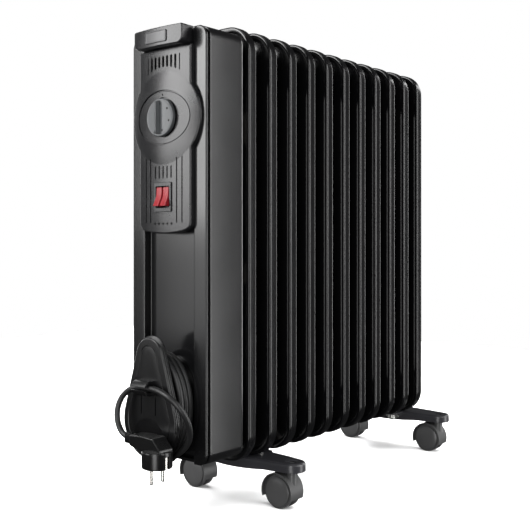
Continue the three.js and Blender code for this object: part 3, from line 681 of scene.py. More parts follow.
def build_stage():
    """The camera, a pale floor that shows to the camera only, and the softboxes."""
    scene = bpy.context.scene
    camera = bpy.data.cameras.new("camera")
    camera.lens = VIEW_LENS
    camera.sensor_width = VIEW_SENSOR
    camera.shift_y = VIEW_SHIFT
    view = placed("camera", camera)
    view.location = VIEW_PLACE
    view.rotation_euler = (math.pi / 2, 0, math.radians(VIEW_TURN))
    scene.camera = view
    scene.view_settings.view_transform = "Standard"
    scene.world = white_world()

    floor = Shell()
    far = FLOOR_REACH
    floor.faces.append(floor.loop([(-far, -far, 0), (far, -far, 0), (far, far, 0), (-far, far, 0)]))
    ground = floor.make("floor")
    f = Finish("pale_floor")
    f.set(Base_Color=f.mix(f.noise(400, 2.0), (0.90, 0.90, 0.90), (0.93, 0.93, 0.93)))
    f.shader.inputs["Roughness"].default_value = 0.5
    ground.data.materials.append(f.material)
    ground.visible_diffuse = ground.visible_glossy = ground.visible_shadow = False
    softbox("floor_light", (0, 0, 3.0), (5.0, 5.0), 7.5, only=ground, down=True)
    for name, place, size, radiance in SOFTBOXES:
        softbox(name, place, size, radiance)
    softbox("top", (0.0, -0.2, 2.4), (1.4, 1.4), 0.9, down=True)


# ---- Lead -----------------------------------------------------------------------------------

WINDING_Z, WINDING_A, WINDING_B = 151.0, 44.5, 64.0
WINDING_BACK = -4.8  # centre line of the turn nearest the cover
TURN_STEP = 7.85
CROSSING = 50.0  # degrees after the lowest point in which a turn moves over beside the last one
TURN_POINTS = 9  # degrees between the points of a turn
LEAD_STEPS = 3  # points of the curve for each point given
LEAD_EXIT = (-7.7, 5.5, 87.0)
LEAD_IN = [(-90.0, 5.5), (-75.0, 4.0), (-60.0, 0.5)]  # degrees round the winding, and y
LEAD_ROUTE = [  # from the last turn round through the clip to the plug
    (12.0, -20.6, 85.4),
    (24.0, -20.0, 85.6),
    (36.0, -19.0, 94.0),
    (48.0, -18.0, 103.5),
    (57.0, -19.0, 115.0),
    (62.0, -23.0, 127.0),
    (64.0, -29.0, 139.0),
    (63.0, -35.0, 150.0),
    (58.0, -40.0, 160.0),
    (48.5, -43.5, 168.5),
    (34.0, -43.5, 173.8),
    (20.0, -42.3, 176.0),
    (8.0, -42.0, 176.4),
    (-4.0, -42.0, 176.3),
    (-16.0, -42.6, 174.8),
    (-27.0, -44.0, 170.0),
    (-35.5, -46.5, 161.5),
    (-39.5, -49.5, 150.5),
    (-39.0, -52.0, 138.5),
    (-34.5, -53.5, 127.5),
    (-27.5, -54.0, 119.2),
    (-20.0, -54.0, 115.6),
    (-14.6, -54.0, 115.0),
]


def on_winding(degrees, y):
    """A point of the winding's ellipse."""
    t = math.radians(degrees)
    return (WINDING_A * math.cos(t), y, WINDING_Z + WINDING_B * math.sin(t))


def smooth_step(t):
    """Eases from 0 to 1 as t does."""
    t = min(max(t, 0.0), 1.0)
    return t * t * (3 - 2 * t)


def winding(turns):
    """The turns side by side, each crossing to the next place just past the lowest point."""
    points = []
    lowest = [270 + 360 * k for k in range(turns)]
    for degrees in range(-45, lowest[-1] + 1, TURN_POINTS):
        crossings = sum(smooth_step((degrees - foot) / CROSSING) for foot in lowest[:-1])
        points.append(on_winding(degrees, WINDING_BACK - TURN_STEP * crossings))
    return points


def eased(p, q, r, s, t):
    """The Catmull-Rom value between q and r."""
    square, cube = 2 * p - 5 * q + 4 * r - s, 3 * q - p - 3 * r + s
    return 0.5 * (2 * q + (r - p) * t + square * t * t + cube * t**3)


def catmull(points, steps):
    """A smooth curve through the points."""
    whole = [points[0], *points, points[-1]]
    out = []
    for a, b, c, d in zip(whole, whole[1:], whole[2:], whole[3:]):
        for i in range(steps):
            out.append(tuple(eased(p, q, r, s, i / steps) for p, q, r, s in zip(a, b, c, d)))
    return [*out, points[-1]]


def build_cord(sizes):
    """The lead on one curve: out of its gland, round the reel, through the clip and into the plug."""
    entry = [on_winding(t, y) for t, y in LEAD_IN]
    line = catmull([LEAD_EXIT, *entry, *winding(sizes.cord_turns), *LEAD_ROUTE], LEAD_STEPS)
    path = [at(*p) for p in line]
    curve = tube("lead", path, sizes.cord_width / 2, 4)
    curve.materials.append(FINISHES["jacket"])
    lead = placed("lead", curve)
    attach(lead, BODY)
    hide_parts("cord_lead", "cord_coil")
    build_plug(sizes)
    build_gland()


# ---- Plug -----------------------------------------------------------------------------------

PLUG = (37.0, -54.0, 85.0)  # middle of the face that the pins stand on
PLUG_RADIUS = 19.0
ARM_LOW, ARM_TOP, ARM_HALF = 18.6, 122.0, 11.0
RELIEF_Z = 115.0
RELIEF_FROM, RELIEF_TO = -14.0, 0.0
RIB_FIRST, RIB_PITCH, RIB_REACH = -12.2, 2.1, 6.6


def build_plug(sizes):
    """The plug's round base and the arm across it, its strain relief, its pins and earth strips."""
    x, y, z = PLUG
    r = PLUG_RADIUS
    side = [(0, 0), (r - 1.4, 0), (r - 0.4, 0.7), (r, 1.8), (r, 18.5), (r - 0.8, 20.4), (r - 2.6, 21.2)]
    base = turned("plug_moulding", [*side, (0, 21.2)], PLUG, "Z")
    recess_x = [x + s * 17.2 for s in (-1, 1)]
    recesses = [block(m - 3, m + 3, y - 3.4, y + 3.4, z - 1, z + 16) for m in recess_x]
    combine(base, recesses, "DIFFERENCE")
    arm = [(-2.0, z + 23.0), (x - 17.5, z + ARM_LOW), (x + 16.0, z + ARM_LOW), (x + 16.4, z + 23.6)]
    arm += [(x + 3.0, ARM_TOP), (x - 18.0, ARM_TOP + 0.6), (-2.0, ARM_TOP - 1.0)]
    wedge = bevelled(prism(polygon(arm), y - ARM_HALF, y + ARM_HALF), 1.6, 3)
    combine(base, [wedge], "UNION")
    finished(base, BODY, "plug_rubber", FINISHES["plug"], "plug_body")

    taper = [(0, RELIEF_FROM), (4.6, RELIEF_FROM), (5.2, -10), (6.6, RELIEF_TO), (0, RELIEF_TO)]
    core = turned("relief_core", taper, (0, y, RELIEF_Z), "X", 32)
    ring = rounded(y - 9, y + 9, RELIEF_Z - RIB_REACH, RELIEF_Z + RIB_REACH, 4, 5)
    rib = skinned("relief_ribs", ring, [(0.5, -0.6), (0, -0.2), (0, 0.2), (0.5, 0.6)], "YZ")
    ribs = row_of(rib, sizes.relief_ribs, (RIB_FIRST, 0, 0), (RIB_PITCH, 0, 0), FINISHES["plug"])
    finished(joined("plug_relief", [core, ribs]), BODY, "plug_rubber", FINISHES["plug"])

    for name, node in (("plug_pin_near", "plug_pin_1"), ("plug_pin_far", "plug_pin_2")):
        low, high = near(node)
        middle = middle_of(node)
        r = (high.x - low.x) / 2
        tip = [(0, low.z), (r * 0.55, low.z + 0.1), (r * 0.88, low.z + 0.7), (r, low.z + 1.9)]
        pin = turned(name, [*tip, (r, high.z), (0, high.z)], (middle[0], middle[1], 0), "Z", 28)
        finished(pin, BODY, "nickel_pin", FINISHES["nickel"], node)

    strip_x = [x + s * 15.6 for s in (-1, 1)]
    strips = [block(m - 0.5, m + 0.5, y - 2.2, y + 2.2, z + 0.6, z + 14.5, 0.4) for m in strip_x]
    finished(joined("earth_strips", strips), BODY, "nickel_pin", FINISHES["nickel"])


def build_gland():
    """The tapered strain relief that holds the lead where it leaves the housing."""
    low, high = near("cord_gland")
    middle = middle_of("cord_gland")
    foot = bevelled(block(low.x, low.x + 12, low.y, high.y, low.z, high.z, 1.5), 0.6, 2)
    taper = [(0, low.x + 10), (5.9, low.x + 10), (4.4, high.x), (0, high.x)]
    cone = turned("gland_cone", taper, (0, middle[1], middle[2]), "X", 28)
    finished(joined("gland", [foot, cone]), BODY, "reel_plastic", FINISHES["reel"], "cord_gland")


# ---- Reel -----------------------------------------------------------------------------------

REEL = teardrop(132.0, 50.0, 214.0, 26.0)
PLATE_FRONT, PLATE_BACK = -34.0, -26.0
SCOOP_Z = 106.0
PLATE_SLOTS = (-13, 13)
HUB_ROOM = 4.4  # from the hub's side to the middle of the lead wound on it
CLIP_AXIS_Y, CLIP_Z, CLIP_OUT, CLIP_IN = -42.0, 176.0, 9.4, 5.2


def clip_section():
    """The clip's jaws in y and z: a ring open to the front, standing on a foot."""
    outer = arc(CLIP_AXIS_Y, CLIP_Z, CLIP_OUT, 166, 70, 14)
    inner = arc(CLIP_AXIS_Y, CLIP_Z, CLIP_IN, -156, 156, 32)
    bottom = arc(CLIP_AXIS_Y, CLIP_Z, CLIP_OUT, -70, -166, 14)
    foot = [(PLATE_FRONT + 1, CLIP_Z + CLIP_OUT), (PLATE_FRONT + 1, CLIP_Z - CLIP_OUT)]
    return outer + foot + bottom + inner


def build_reel():
    """The reel's plate with its stepped edge, raised face and scoop, the clip on it and the hub."""
    back, front = PLATE_BACK, PLATE_FRONT
    levels = [(1.2, back), (0.3, back - 0.5), (0, back - 1.4), (0, back - 2.6)]
    levels += [(0.9, back - 3.0), (0.9, back - 4.4), (1.9, back - 4.8), (1.9, back - 5.9)]
    levels += [(i + 2.4, y) for i, y in round_over(front, 1.8, 1)]
    levels += [(11.0, front), (11.6, front + 0.5), (12.4, front + 0.5), (13.0, front - 0.2)]
    levels += [(16.0, front - 0.5), (20.0, front - 0.6)]
    plate = skinned("reel_disc", REEL, levels)
    face = front - 0.6
    bowl = [(0, face + 2.6), (12, face + 2.3), (22, face + 1.4), (29, face + 0.4), (33, face - 0.2)]
    scoop = turned("scoop", [*bowl, (34, face - 4), (0, face - 4)], (0, 0, SCOOP_Z), "Y", 72)
    slots = [block(x - 0.8, x + 0.8, front - 3, front + 2, 141, 165, 0.7) for x in PLATE_SLOTS]
    combine(plate, [scoop, *slots], "DIFFERENCE")
    clip = bevelled(prism(polygon(clip_section()), -14, 11, "YZ"), 0.5, 2, 50)
    clip.name = "cord_clip"
    finished(plate, BODY, "reel_plastic", FINISHES["reel"], "reel_plate")
    finished(clip, BODY, "reel_plastic", FINISHES["reel"])
    core = oval(WINDING_A - HUB_ROOM, WINDING_B - HUB_ROOM, WINDING_Z)
    hub = skinned("reel_hub", core, [(0, back + 0.3), (0, 11.7)])
    finished(hub, BODY, "reel_plastic", FINISHES["reel"], "reel_core")


# ---- Panel, dial and switches ---------------------------------------------------------------

PANEL_HALF, PANEL_LOW, PANEL_TOP = 47.0, 369.0, 606.7
PANEL_FACE, PANEL_EDGE = -9.0, 2.2
PANEL_BOW = 0.0012
DIAL_Z = 517.5
DIAL_AXIS = (0, 0, DIAL_Z)
BULGE, DOME, DOME_RISE = 62.0, 59.5, 3.4
RECESS = -10.2  # floor of the oval round the dial
SWITCH_Z = 416.0
WINDOW_X, WINDOW_Z = 14.3, 17.8  # half the opening for the switches
SLOT_TOP, SLOT_ARC = 597.0, 65.0


def panel_outline(inset=0.0):
    """Straight sides, wider round the dial, with a bowed lower edge."""
    w, bulge = PANEL_HALF - inset, BULGE - inset
    a = math.degrees(math.acos(w / bulge))
    low, r = PANEL_LOW + inset, 9.0
    points = quadratic((-w, low + r + 4), (-w, low + 4), (-w + 2 * r, low + 2), 8)
    points += quadratic((-w + 2 * r, low + 2), (0, low - 2), (w - 2 * r, low + 2), 12)
    points += quadratic((w - 2 * r, low + 2), (w, low + 4), (w, low + r + 4), 8)
    points += [(w, low + r + 4), *arc(0, DIAL_Z, bulge, -a, a, 32)]
    points += [(w, PANEL_TOP - inset), (-w, PANEL_TOP - inset)]
    return points + arc(0, DIAL_Z, bulge, 180 - a, 180 + a, 32)


def groove(x, low, high, width, depth):
    """A cutter for a straight groove with round ends."""
    half = width / 2
    return block(x - half, x + half, PANEL_FACE - 3, PANEL_FACE + depth, low, high, half - 0.05)


def switch_window(front, back):
    """A cutter for the opening that the switches stand in."""
    return block(-WINDOW_X, WINDOW_X, front, back, SWITCH_Z - WINDOW_Z, SWITCH_Z + WINDOW_Z)


def build_panel(sizes):
    """The panel with its dome and oval, vent slots, grooves and dimples, bowed across its width."""
    skin = [(0, -0.3), (0, PANEL_FACE + PANEL_EDGE)] + round_over(PANEL_FACE, PANEL_EDGE, 1)
    panel = skinned("panel", panel_outline, skin)
    edge = PANEL_FACE - 0.2
    crown = [(r, edge - DOME_RISE * (1 - (r / DOME) ** 2)) for r in range(0, int(DOME), 6)]
    crown += [(DOME, edge), (DOME + 0.3, -6.5), (0, -6.5)]
    combine(panel, [turned("dome", crown, DIAL_AXIS, "Y", 96)], "UNION")
    wall = [(-0.9, -16), (-0.6, -11.6), (0, RECESS - 0.4)]
    gutter = [(0, RECESS + 0.9), (1.3, RECESS + 0.9), (1.9, RECESS)]
    eye = skinned("eye", oval(48, 35, DIAL_Z), wall + gutter)
    ring = [(23.5, -14), (26.3, -14), (26.3, -8.2), (23.5, -8.2)]
    pit = turned("pit", ring, DIAL_AXIS, "Y", 72, closed=True)
    shaft = turned("shaft_hole", [(0, -14), (4, -14), (4, 2), (0, 2)], DIAL_AXIS, "Y", 24)
    combine(panel, [eye, pit, shaft], "DIFFERENCE")
    hollow = skinned("hollow", panel_outline, [(3, 1), (3, PANEL_FACE + 1.6)])
    combine(panel, [hollow, switch_window(-12, 1)], "DIFFERENCE")

    pitch, wide = sizes.slot_pitch / MM, sizes.slot_width / MM
    first = -(sizes.slot_count - 1) / 2 * pitch
    foot = SLOT_TOP - wide
    end = rounded(-wide / 2, wide / 2, foot, SLOT_TOP, wide / 2 - 0.05, 5)
    slot = skinned("slots", end, [(0, PANEL_FACE - 6), (0, PANEL_FACE + 6)])
    curve = {"Split": SLOT_TOP - wide / 2, "Foot": foot, "Arc centre": DIAL_Z, "Arc radius": SLOT_ARC}
    slots = row_of(slot, sizes.slot_count, (first, 0, 0), (pitch, 0, 0), pull=curve)
    grooves = [groove(s * 28.8, 576, 597, 2.0, 1.0) for s in (-1, 1)]
    grooves += [groove(s * x, 383, 463 + x / 8, 2.2, 1.1) for s in (-1, 1) for x in (24, 33)]
    short = row_of(groove(0, 440, 456, 2.4, 1.2), 5, (-14.4, 0, 0), (7.2, 0, 0))
    dent = [(0, -12), (1.6, -12), (1.6, -8.4), (1.2, -5), (0, -5)]
    dimples = row_of(turned("dimples", dent, (0, 0, 382), "Y", 16), 5, (-15.2, 0, 0), (7.6, 0, 0))
    combine(panel, [slots, *grooves, short, dimples], "DIFFERENCE")
    bow(panel, PANEL_BOW, -4)
    finished(panel, BODY, "satin_plastic", FINISHES["panel"], "control_panel", angle=28)

    line = rounded(-0.8, 0.8, DIAL_Z + 28, DIAL_Z + 31, 0.7, 3)
    mark = skinned("dial_index", line, [(0, RECESS + 0.3), (0, RECESS - 0.2), (0.3, RECESS - 0.3)])
    finished(mark, BODY, "satin_plastic", FINISHES["mark"])


DISC_RADIUS, DISC_DEEP = 24.5, 4.5
GRIP_RADIUS, GRIP_RISE = 21.5, 5.8
DOT_RING, DOT_RADIUS = 17.0, 1.5
DOT_TURNS = (-75, -17, 38, 90)  # degrees round the dial from its right


def build_dial():
    """The dial's disc with its ridge, and the dots on its face."""
    z = middle_of("thermostat_knob")[2]
    back = near("thermostat_knob")[1].y
    face = back - DISC_DEEP
    crest = face - GRIP_RISE
    r = DISC_RADIUS
    disc = [(0, back), (r - 0.5, back), (r, back - 0.5), (r, face + 1.4), (r - 0.4, face + 0.5)]
    r = GRIP_RADIUS
    disc += [(r + 1.7, face), (r, face), (r - 0.7, face + 0.25), (0, face + 0.25)]
    knob = turned("dial_knob", disc, (0, 0, z), "Y", 96)
    grip = [(-25, face + 1), (-r, face + 0.1), (-3.0, crest), (-1.4, crest), (0.4, face + 1)]
    ridge = bevelled(prism(polygon(grip), z - 22, z + 22, "XY"), 0.7, 3)
    trim = [(0, face + 2), (r, face + 2), (r, crest + 3.4), (r - 0.8, crest + 1.4)]
    trim += [(r - 3, crest + 0.3), (15, crest - 0.2), (0, crest - 0.2)]
    combine(ridge, [turned("trim", trim, (0, 0, z), "Y", 96)], "INTERSECT")
    combine(knob, [ridge], "UNION")
    finished(knob, "dial", "grey_knob_plastic", FINISHES["knob"], "thermostat_knob", angle=28)
    dots = []
    spot = [(0, face + 0.4), (DOT_RADIUS, face + 0.4), (DOT_RADIUS - 0.1, face + 0.1), (0, face)]
    for degrees in DOT_TURNS:
        t = math.radians(degrees)
        place = (DOT_RING * math.cos(t), 0, z + DOT_RING * math.sin(t))
        dots.append(turned("dot", spot, place, "Y", 14))
    finished(joined("dial_dots", dots), "dial", "grey_knob_plastic", FINISHES["mark"])
    keep("thermostat_shaft", "zinc")


ROCKER_LEAN = -8.0  # degrees, at rest
ROCKER_X, ROCKER_HALF = 6.15, 4.9
ROCKER_FACE = [(-6.4, -12.5), (-2.2, 1.0), (-3.0, 12.5)]  # y and z from the pivot
ROCKER_BACK = 11.7  # half the height of its round back


def rocker_section(pivot_y):
    """A rocker's bent face and round back in y and z, leaning as at rest."""
    turn = [math.pi * k / 8 for k in range(1, 8)]
    back = [(2 + 3 * math.sin(t), ROCKER_BACK * math.cos(t)) for t in turn]
    section = [*ROCKER_FACE, (2, ROCKER_BACK), *back, (2, -ROCKER_BACK)]
    c, s = math.cos(math.radians(ROCKER_LEAN)), math.sin(math.radians(ROCKER_LEAN))
    return [(pivot_y + a * c - b * s, SWITCH_Z + a * s + b * c) for a, b in section]


def build_switches():
    """The switches' frame and case, and the two red rockers in it."""
    low, high = near("switch_housing")
    z = SWITCH_Z
    levels = [(0, -9.3)] + round_over(low.y, 0.7, 1)
    body = skinned("switch_bezel", rounded(-15.5, 15.5, z - 19, z + 19, 1.2, 4), levels)
    combine(body, [block(-14, 14, -9.9, high.y, z - 17.5, z + 17.5)], "UNION")
    pocket = block(-12.6, 12.6, low.y - 1, low.y + 10, z - 14.1, z + 14.1, 0.8)
    combine(body, [pocket], "DIFFERENCE")
    finished(body, BODY, "satin_plastic", FINISHES["panel"], "switch_housing")
    section = rocker_section(low.y + 1.5)
    for side, x in (("left", -ROCKER_X), ("right", ROCKER_X)):
        blank = prism(polygon(section), x - ROCKER_HALF, x + ROCKER_HALF, "YZ")
        rocker = bevelled(blank, 0.9, 3, 25)
        rocker.name = "rocker_" + side + "_lens"
        finished(rocker, side + "_rocker", "red_lens", FINISHES["lens"], "rocker_" + side)


# ---- Handle ---------------------------------------------------------------------------------

HANDLE_BOW = 0.0016
HANDLE_LIP = 2.0  # how far the front band stands past the sides
HANDLE_CORNER = 9.0
FINGER_ROOM_TOP = 627.7


def handle_outline(x, low, high):
    """Square upper corners and round lower ones, as a function of the inset."""

    def outline(inset=0.0):
        wide, r = HANDLE_CORNER - inset, 2.5 - inset / 2
        left, right, bottom, top = -x + inset, x - inset, low + inset, high - inset
        points = arc(right - wide, bottom + wide, wide, -90, 0, 8)
        points += arc(right - r, top - r, r, 0, 90, 5) + arc(left + r, top - r, r, 90, 180, 5)
        return points + arc(left + wide, bottom + wide, wide, 180, 270, 8)

    return outline


def build_handle():
    """The handle with its finger room behind the front band, and the blank plate on its face."""
    low, high = near("handle")
    x, grip = high.x + HANDLE_LIP, high.x - 8
    front = list(reversed(round_over(low.y, 1.4, 1)))
    bar = skinned("carry_handle", handle_outline(x, low.z, high.z), front + [(0, high.y)])
    ends = [s * (high.x + 4) for s in (-1, 1)]
    waist = [block(e - 4, e + 4, low.y + 13, high.y + 1, low.z - 1, high.z + 1) for e in ends]
    top = block(-x - 1, x + 1, 4, high.y + 1, FINGER_ROOM_TOP, high.z + 1)
    cavity = bevelled(block(-grip, grip, low.y + 9, high.y - 3, low.z - 4, high.z + 4, 2), 1.0, 2)
    combine(bar, [top, *waist, cavity], "DIFFERENCE")
    bow(bar, HANDLE_BOW, -12)
    finished(bar, BODY, "satin_plastic", FINISHES["panel"], "handle")

    low, high = near("badge_plate")
    plate = rounded(low.x, high.x, low.z, high.z, 2.5, 6)
    levels = [(0, high.y + 0.2), (0, low.y), (0.3, low.y - 0.3), (1.0, low.y - 0.3)]
    badge = skinned("blank_badge", plate, [*levels, (1.4, low.y + 0.3), (2.2, low.y + 0.5)])
    bow(badge, HANDLE_BOW, 0)
    finished(badge, BODY, "badge_plastic", FINISHES["badge"], "badge_plate")


# ---- Housing --------------------------------------------------------------------------------

HALF, LOW, TOP, CORNER = 68.0, 79.0, 630.0, 15.0
COVER = rounded(-HALF, HALF, LOW, TOP, CORNER, 12)
CHANNEL_HALF, CHANNEL_FLOOR = 45.0, 12.0
CHANNEL_LIP, CHANNEL_FOOT = 2.6, 1.6  # radii at its mouth and its floor


def build_cover():
    """The front pressing: a flange on each side of an open channel, cut out for the controls."""
    levels = [(3.6, 3.0), (1.0, 2.9), (0.3, 2.75), (0, 2.3)] + round_over(0, 2.2, 1, 6)
    cover = skinned("front_pressing", COVER, levels)
    combine(cover, [block(-47, 47, 1.5, 14, LOW + 2, TOP - 2)], "UNION")
    mouth, lip, foot = CHANNEL_HALF, CHANNEL_LIP, CHANNEL_FOOT
    right = arc(mouth + lip, lip, lip, -90, -180, 6)
    right += arc(mouth - foot, CHANNEL_FLOOR - foot, foot, 0, 90, 4)
    left = [(-x, y) for x, y in reversed(right)]
    section = [(mouth + lip, -2)] + right + left + [(-mouth - lip, -2)]
    channel = prism(polygon(section), LOW - 3, TOP + 3, "XY")
    shaft = turned("hole", [(0, 0), (5, 0), (5, 20), (0, 20)], DIAL_AXIS, "Y", 20)
    combine(cover, [channel, shaft, switch_window(0, 20)], "DIFFERENCE")
    finished(cover, BODY, "housing_enamel", FINISHES["housing"], "front_cover", angle=40)


def build_shell():
    """The side shell: set back behind a seam at the front, rolled in at the back."""
    high = near("cover_shell")[1].y
    levels = [(5.0, 4.4), (4.2, 4.4), (4.2, 6.8), (1.3, 7.0), (0.45, 7.4), (0, 8.4)]
    levels += [(0, high - 6), (0.15, high - 4.6), (0.6, high - 2.8), (1.4, high - 1.2)]
    levels += [(2.4, high - 0.2), (3.0, high), (3.6, high - 0.3), (3.6, high - 1.6)]
    levels += [(2.2, high - 3.2), (2.0, high - 6), (2.0, 10.8), (5.0, 8.6)]
    shell = skinned("side_shell", COVER, levels, closed=True)
    finished(shell, BODY, "housing_enamel", FINISHES["housing"], "cover_shell", angle=40)


# ---- Fins -----------------------------------------------------------------------------------

FIN_CORNER = 38.0
FIN_RIM = [  # inset and half thickness, from the seam round the rolled rim
    (0.35, 0.0), (0, 0.35), (0, 5.0), (0.12, 5.8), (0.5, 6.6), (1.1, 7.15), (1.9, 7.42), (2.9, 7.5),
    (5.8, 7.1), (6.8, 6.2), (7.8, 4.6), (8.6, 2.9), (9.8, 1.8),
]
FIN_PANEL = [(0.0, 1.5), (5.0, 1.5), (9.0, 2.2), (15.0, 3.4), (20.0, 3.8)]  # inwards from the rim
HEADER_IN, HEADER_RADIUS = 42.0, 23.0  # the tubes' distance from a fin's ends


def build_fins(sizes):
    """One pressed fin by its section round the outline, repeated along y, with the header tubes."""
    low, high = near("fin_01")
    pitch = near("fin_03")[0].y - near("fin_02")[0].y
    middle = middle_of("fin_02")[1] - pitch
    outline = rounded(low.x, high.x, low.z, high.z, FIN_CORNER, 14)
    rim = sizes.fin_rim / MM
    half = FIN_RIM + [(rim + i, y) for i, y in FIN_PANEL]
    section = [(i, -y) for i, y in reversed(half)] + half[1:]
    base = -FRONT / MM
    start, step = (0, middle + FRONT / MM, 0), (0, pitch, 0)
    fin = skinned("fins", outline, [(i, y + base) for i, y in section])
    fins = row_of(fin, sizes.fin_count, start, step, FINISHES["enamel"])
    nodes = ["fin_%02d" % (i + 1) for i in range(sizes.fin_count)]
    finished(fins, BODY, "radiator_enamel", FINISHES["enamel"], *nodes, angle=40)

    r = HEADER_RADIUS
    link = [(0, 4), (r - 3, 4), (r - 1, 5.2), (r, 7.5), (r, pitch / 2 - 1.2), (r - 0.8, pitch / 2)]
    link += [(r, pitch / 2 + 1.2), (r, pitch - 7.5), (r - 1, pitch - 5.2)]
    link += [(r - 3, pitch - 4), (0, pitch - 4)]
    front = [(0, -21.8), (r - 1.5, -21.8), (r, -20.6), (r, -7.5), (r - 2, -4), (0, -4)]
    rear = [(0, 4), (r - 2, 4), (r, 6.4), (r, 9.6), (r - 1.4, 11.5), (r - 4, 12), (0, 12)]
    last = middle + pitch * (sizes.fin_count - 1)
    tubes = []
    for z in (low.z + HEADER_IN, high.z - HEADER_IN):
        tube_link = turned("header_tube", link, (0, base, z), "Y", 40)
        tubes.append(row_of(tube_link, sizes.fin_count - 1, start, step, FINISHES["enamel"]))
        tubes.append(turned("header_front", front, (0, middle, z), "Y", 40))
        tubes.append(turned("header_end", rear, (0, last, z), "Y", 40))
    finished(joined("header_tubes", tubes), BODY, "radiator_enamel", FINISHES["enamel"])


# ---- Feet and casters -----------------------------------------------------------------------

STEM_X = 96.0
FOOT_MIDDLE, FOOT_END = 25.0, 18.0  # half its width
HANG, HANG_REACH = 4.0, 62.0  # how far the skirt's edge hangs lower, and how far out
TONGUE_X, TONGUE_PAST = 40.6, 12.0


def foot_outline(inset=0.0):
    """Wide in the middle, with round ends about the stems."""
    w, r, x = FOOT_MIDDLE - inset, FOOT_END - inset, STEM_X
    points = quadratic((-x, -r), (-x / 2, -w), (0, -w), 10) + quadratic((0, -w), (x / 2, -w), (x, -r), 10)
    points += arc(x, 0, r, -90, 90, 20)[:-1]
    points += quadratic((x, r), (x / 2, w), (0, w), 10) + quadratic((0, w), (-x / 2, w), (-x, r), 10)
    return points + arc(-x, 0, r, 90, 270, 20)[:-1]


def build_feet():
    for place in ("front", "rear"):
        build_foot(place)


def build_foot(place):
    """A bracket: its skirted arm, dished and bored for the stems, and the tongue under the header."""
    low, high = near(place + "_foot")
    bottom, top = low.z, high.z
    y = middle_of(place + "_left_caster_hood")[1]

    def along(p):
        return (p[0], p[1] + y, p[2])

    def hanging(p):
        """Lets the skirt's lower edge hang lower in the middle."""
        across = max(0.0, 1 - (p[0] / HANG_REACH) ** 2)
        share = across * max(0.0, min(1.0, (top - 4 - p[2]) / 8))
        return (p[0], p[1] + y, p[2] - HANG * share)

    levels = [(3, bottom + 0.2), (2.3, bottom), (0.7, bottom), (0, bottom + 0.7), (0, top - 4)]
    levels += round_over(top, 4.0, -1, 6)
    solid = skinned(place + "_arm", foot_outline, levels, "XY", bend=hanging)
    under = skinned("under", foot_outline, [(3, bottom - 8), (3, top - 3)], "XY", bend=along)
    combine(solid, [under], "DIFFERENCE")
    dish = [(0, top - 1.3), (6.5, top - 1.3), (9, top - 0.7), (11, top + 0.1), (11, top + 3), (0, top + 3)]
    wall = [(5.4, bottom), (9, bottom), (9, top - 2.6), (5.4, top - 2.6)]
    cutters, bosses = [], []
    for x in (-STEM_X, STEM_X):
        cutters.append(turned("dish", dish, (x, y, 0), "Z", 40))
        hole = rounded(x - 5.5, x + 5.5, y - 3.4, y + 3.4, 3.3, 6)
        cutters.append(prism(hole, bottom - 2, top + 4, "XY"))
        bosses.append(turned("boss", wall, (x, y, 0), "Z", 32, closed=True))
    combine(solid, cutters, "DIFFERENCE")
    bolt_y = middle_of(place + "_u_bolt")[1]
    reach = (y, bolt_y + TONGUE_PAST) if bolt_y > y else (bolt_y - TONGUE_PAST, y)
    tongue = rounded(-TONGUE_X, TONGUE_X, *reach, 6, 6)
    levels = [(0.6, top - 3), (0, top - 2.4), (0, top - 0.6), (0.6, top - 0.1)]
    plate = skinned("tongue", tongue, levels, "XY")
    foot = joined(place + "_bracket", [solid, plate, *bosses])
    # its finish is the fins' enamel painted lighter: painted light on the feet
    finished(foot, BODY, "radiator_enamel", FINISHES["foot"], place + "_foot", angle=35)


HOOD_RADIUS, HOOD_WALL, HOOD_HALF = 23.9, 1.8, 14.0
WEB_HALF = 3.2  # half the web between the two wheels
STEM_TRAIL = 17.0  # from the axle out to the stem
STEM_TOP = 62.4
WHEEL_DOME = [  # shares of the wheel's radius, and millimetres past its CAD face
    (0, 0.9), (0.2, 0.85), (0.4, 0.55), (0.56, 0.1), (0.7, -0.6), (0.8, -1.3), (0.87, -2.1),
    (0.885, -4.4), (0.945, -4.4), (0.965, -2.6), (1.0, -3.4),
]


def build_casters():
    for place in ("front", "rear"):
        build_caster(place + "_left", place, -1)
        build_caster(place + "_right", place, 1)


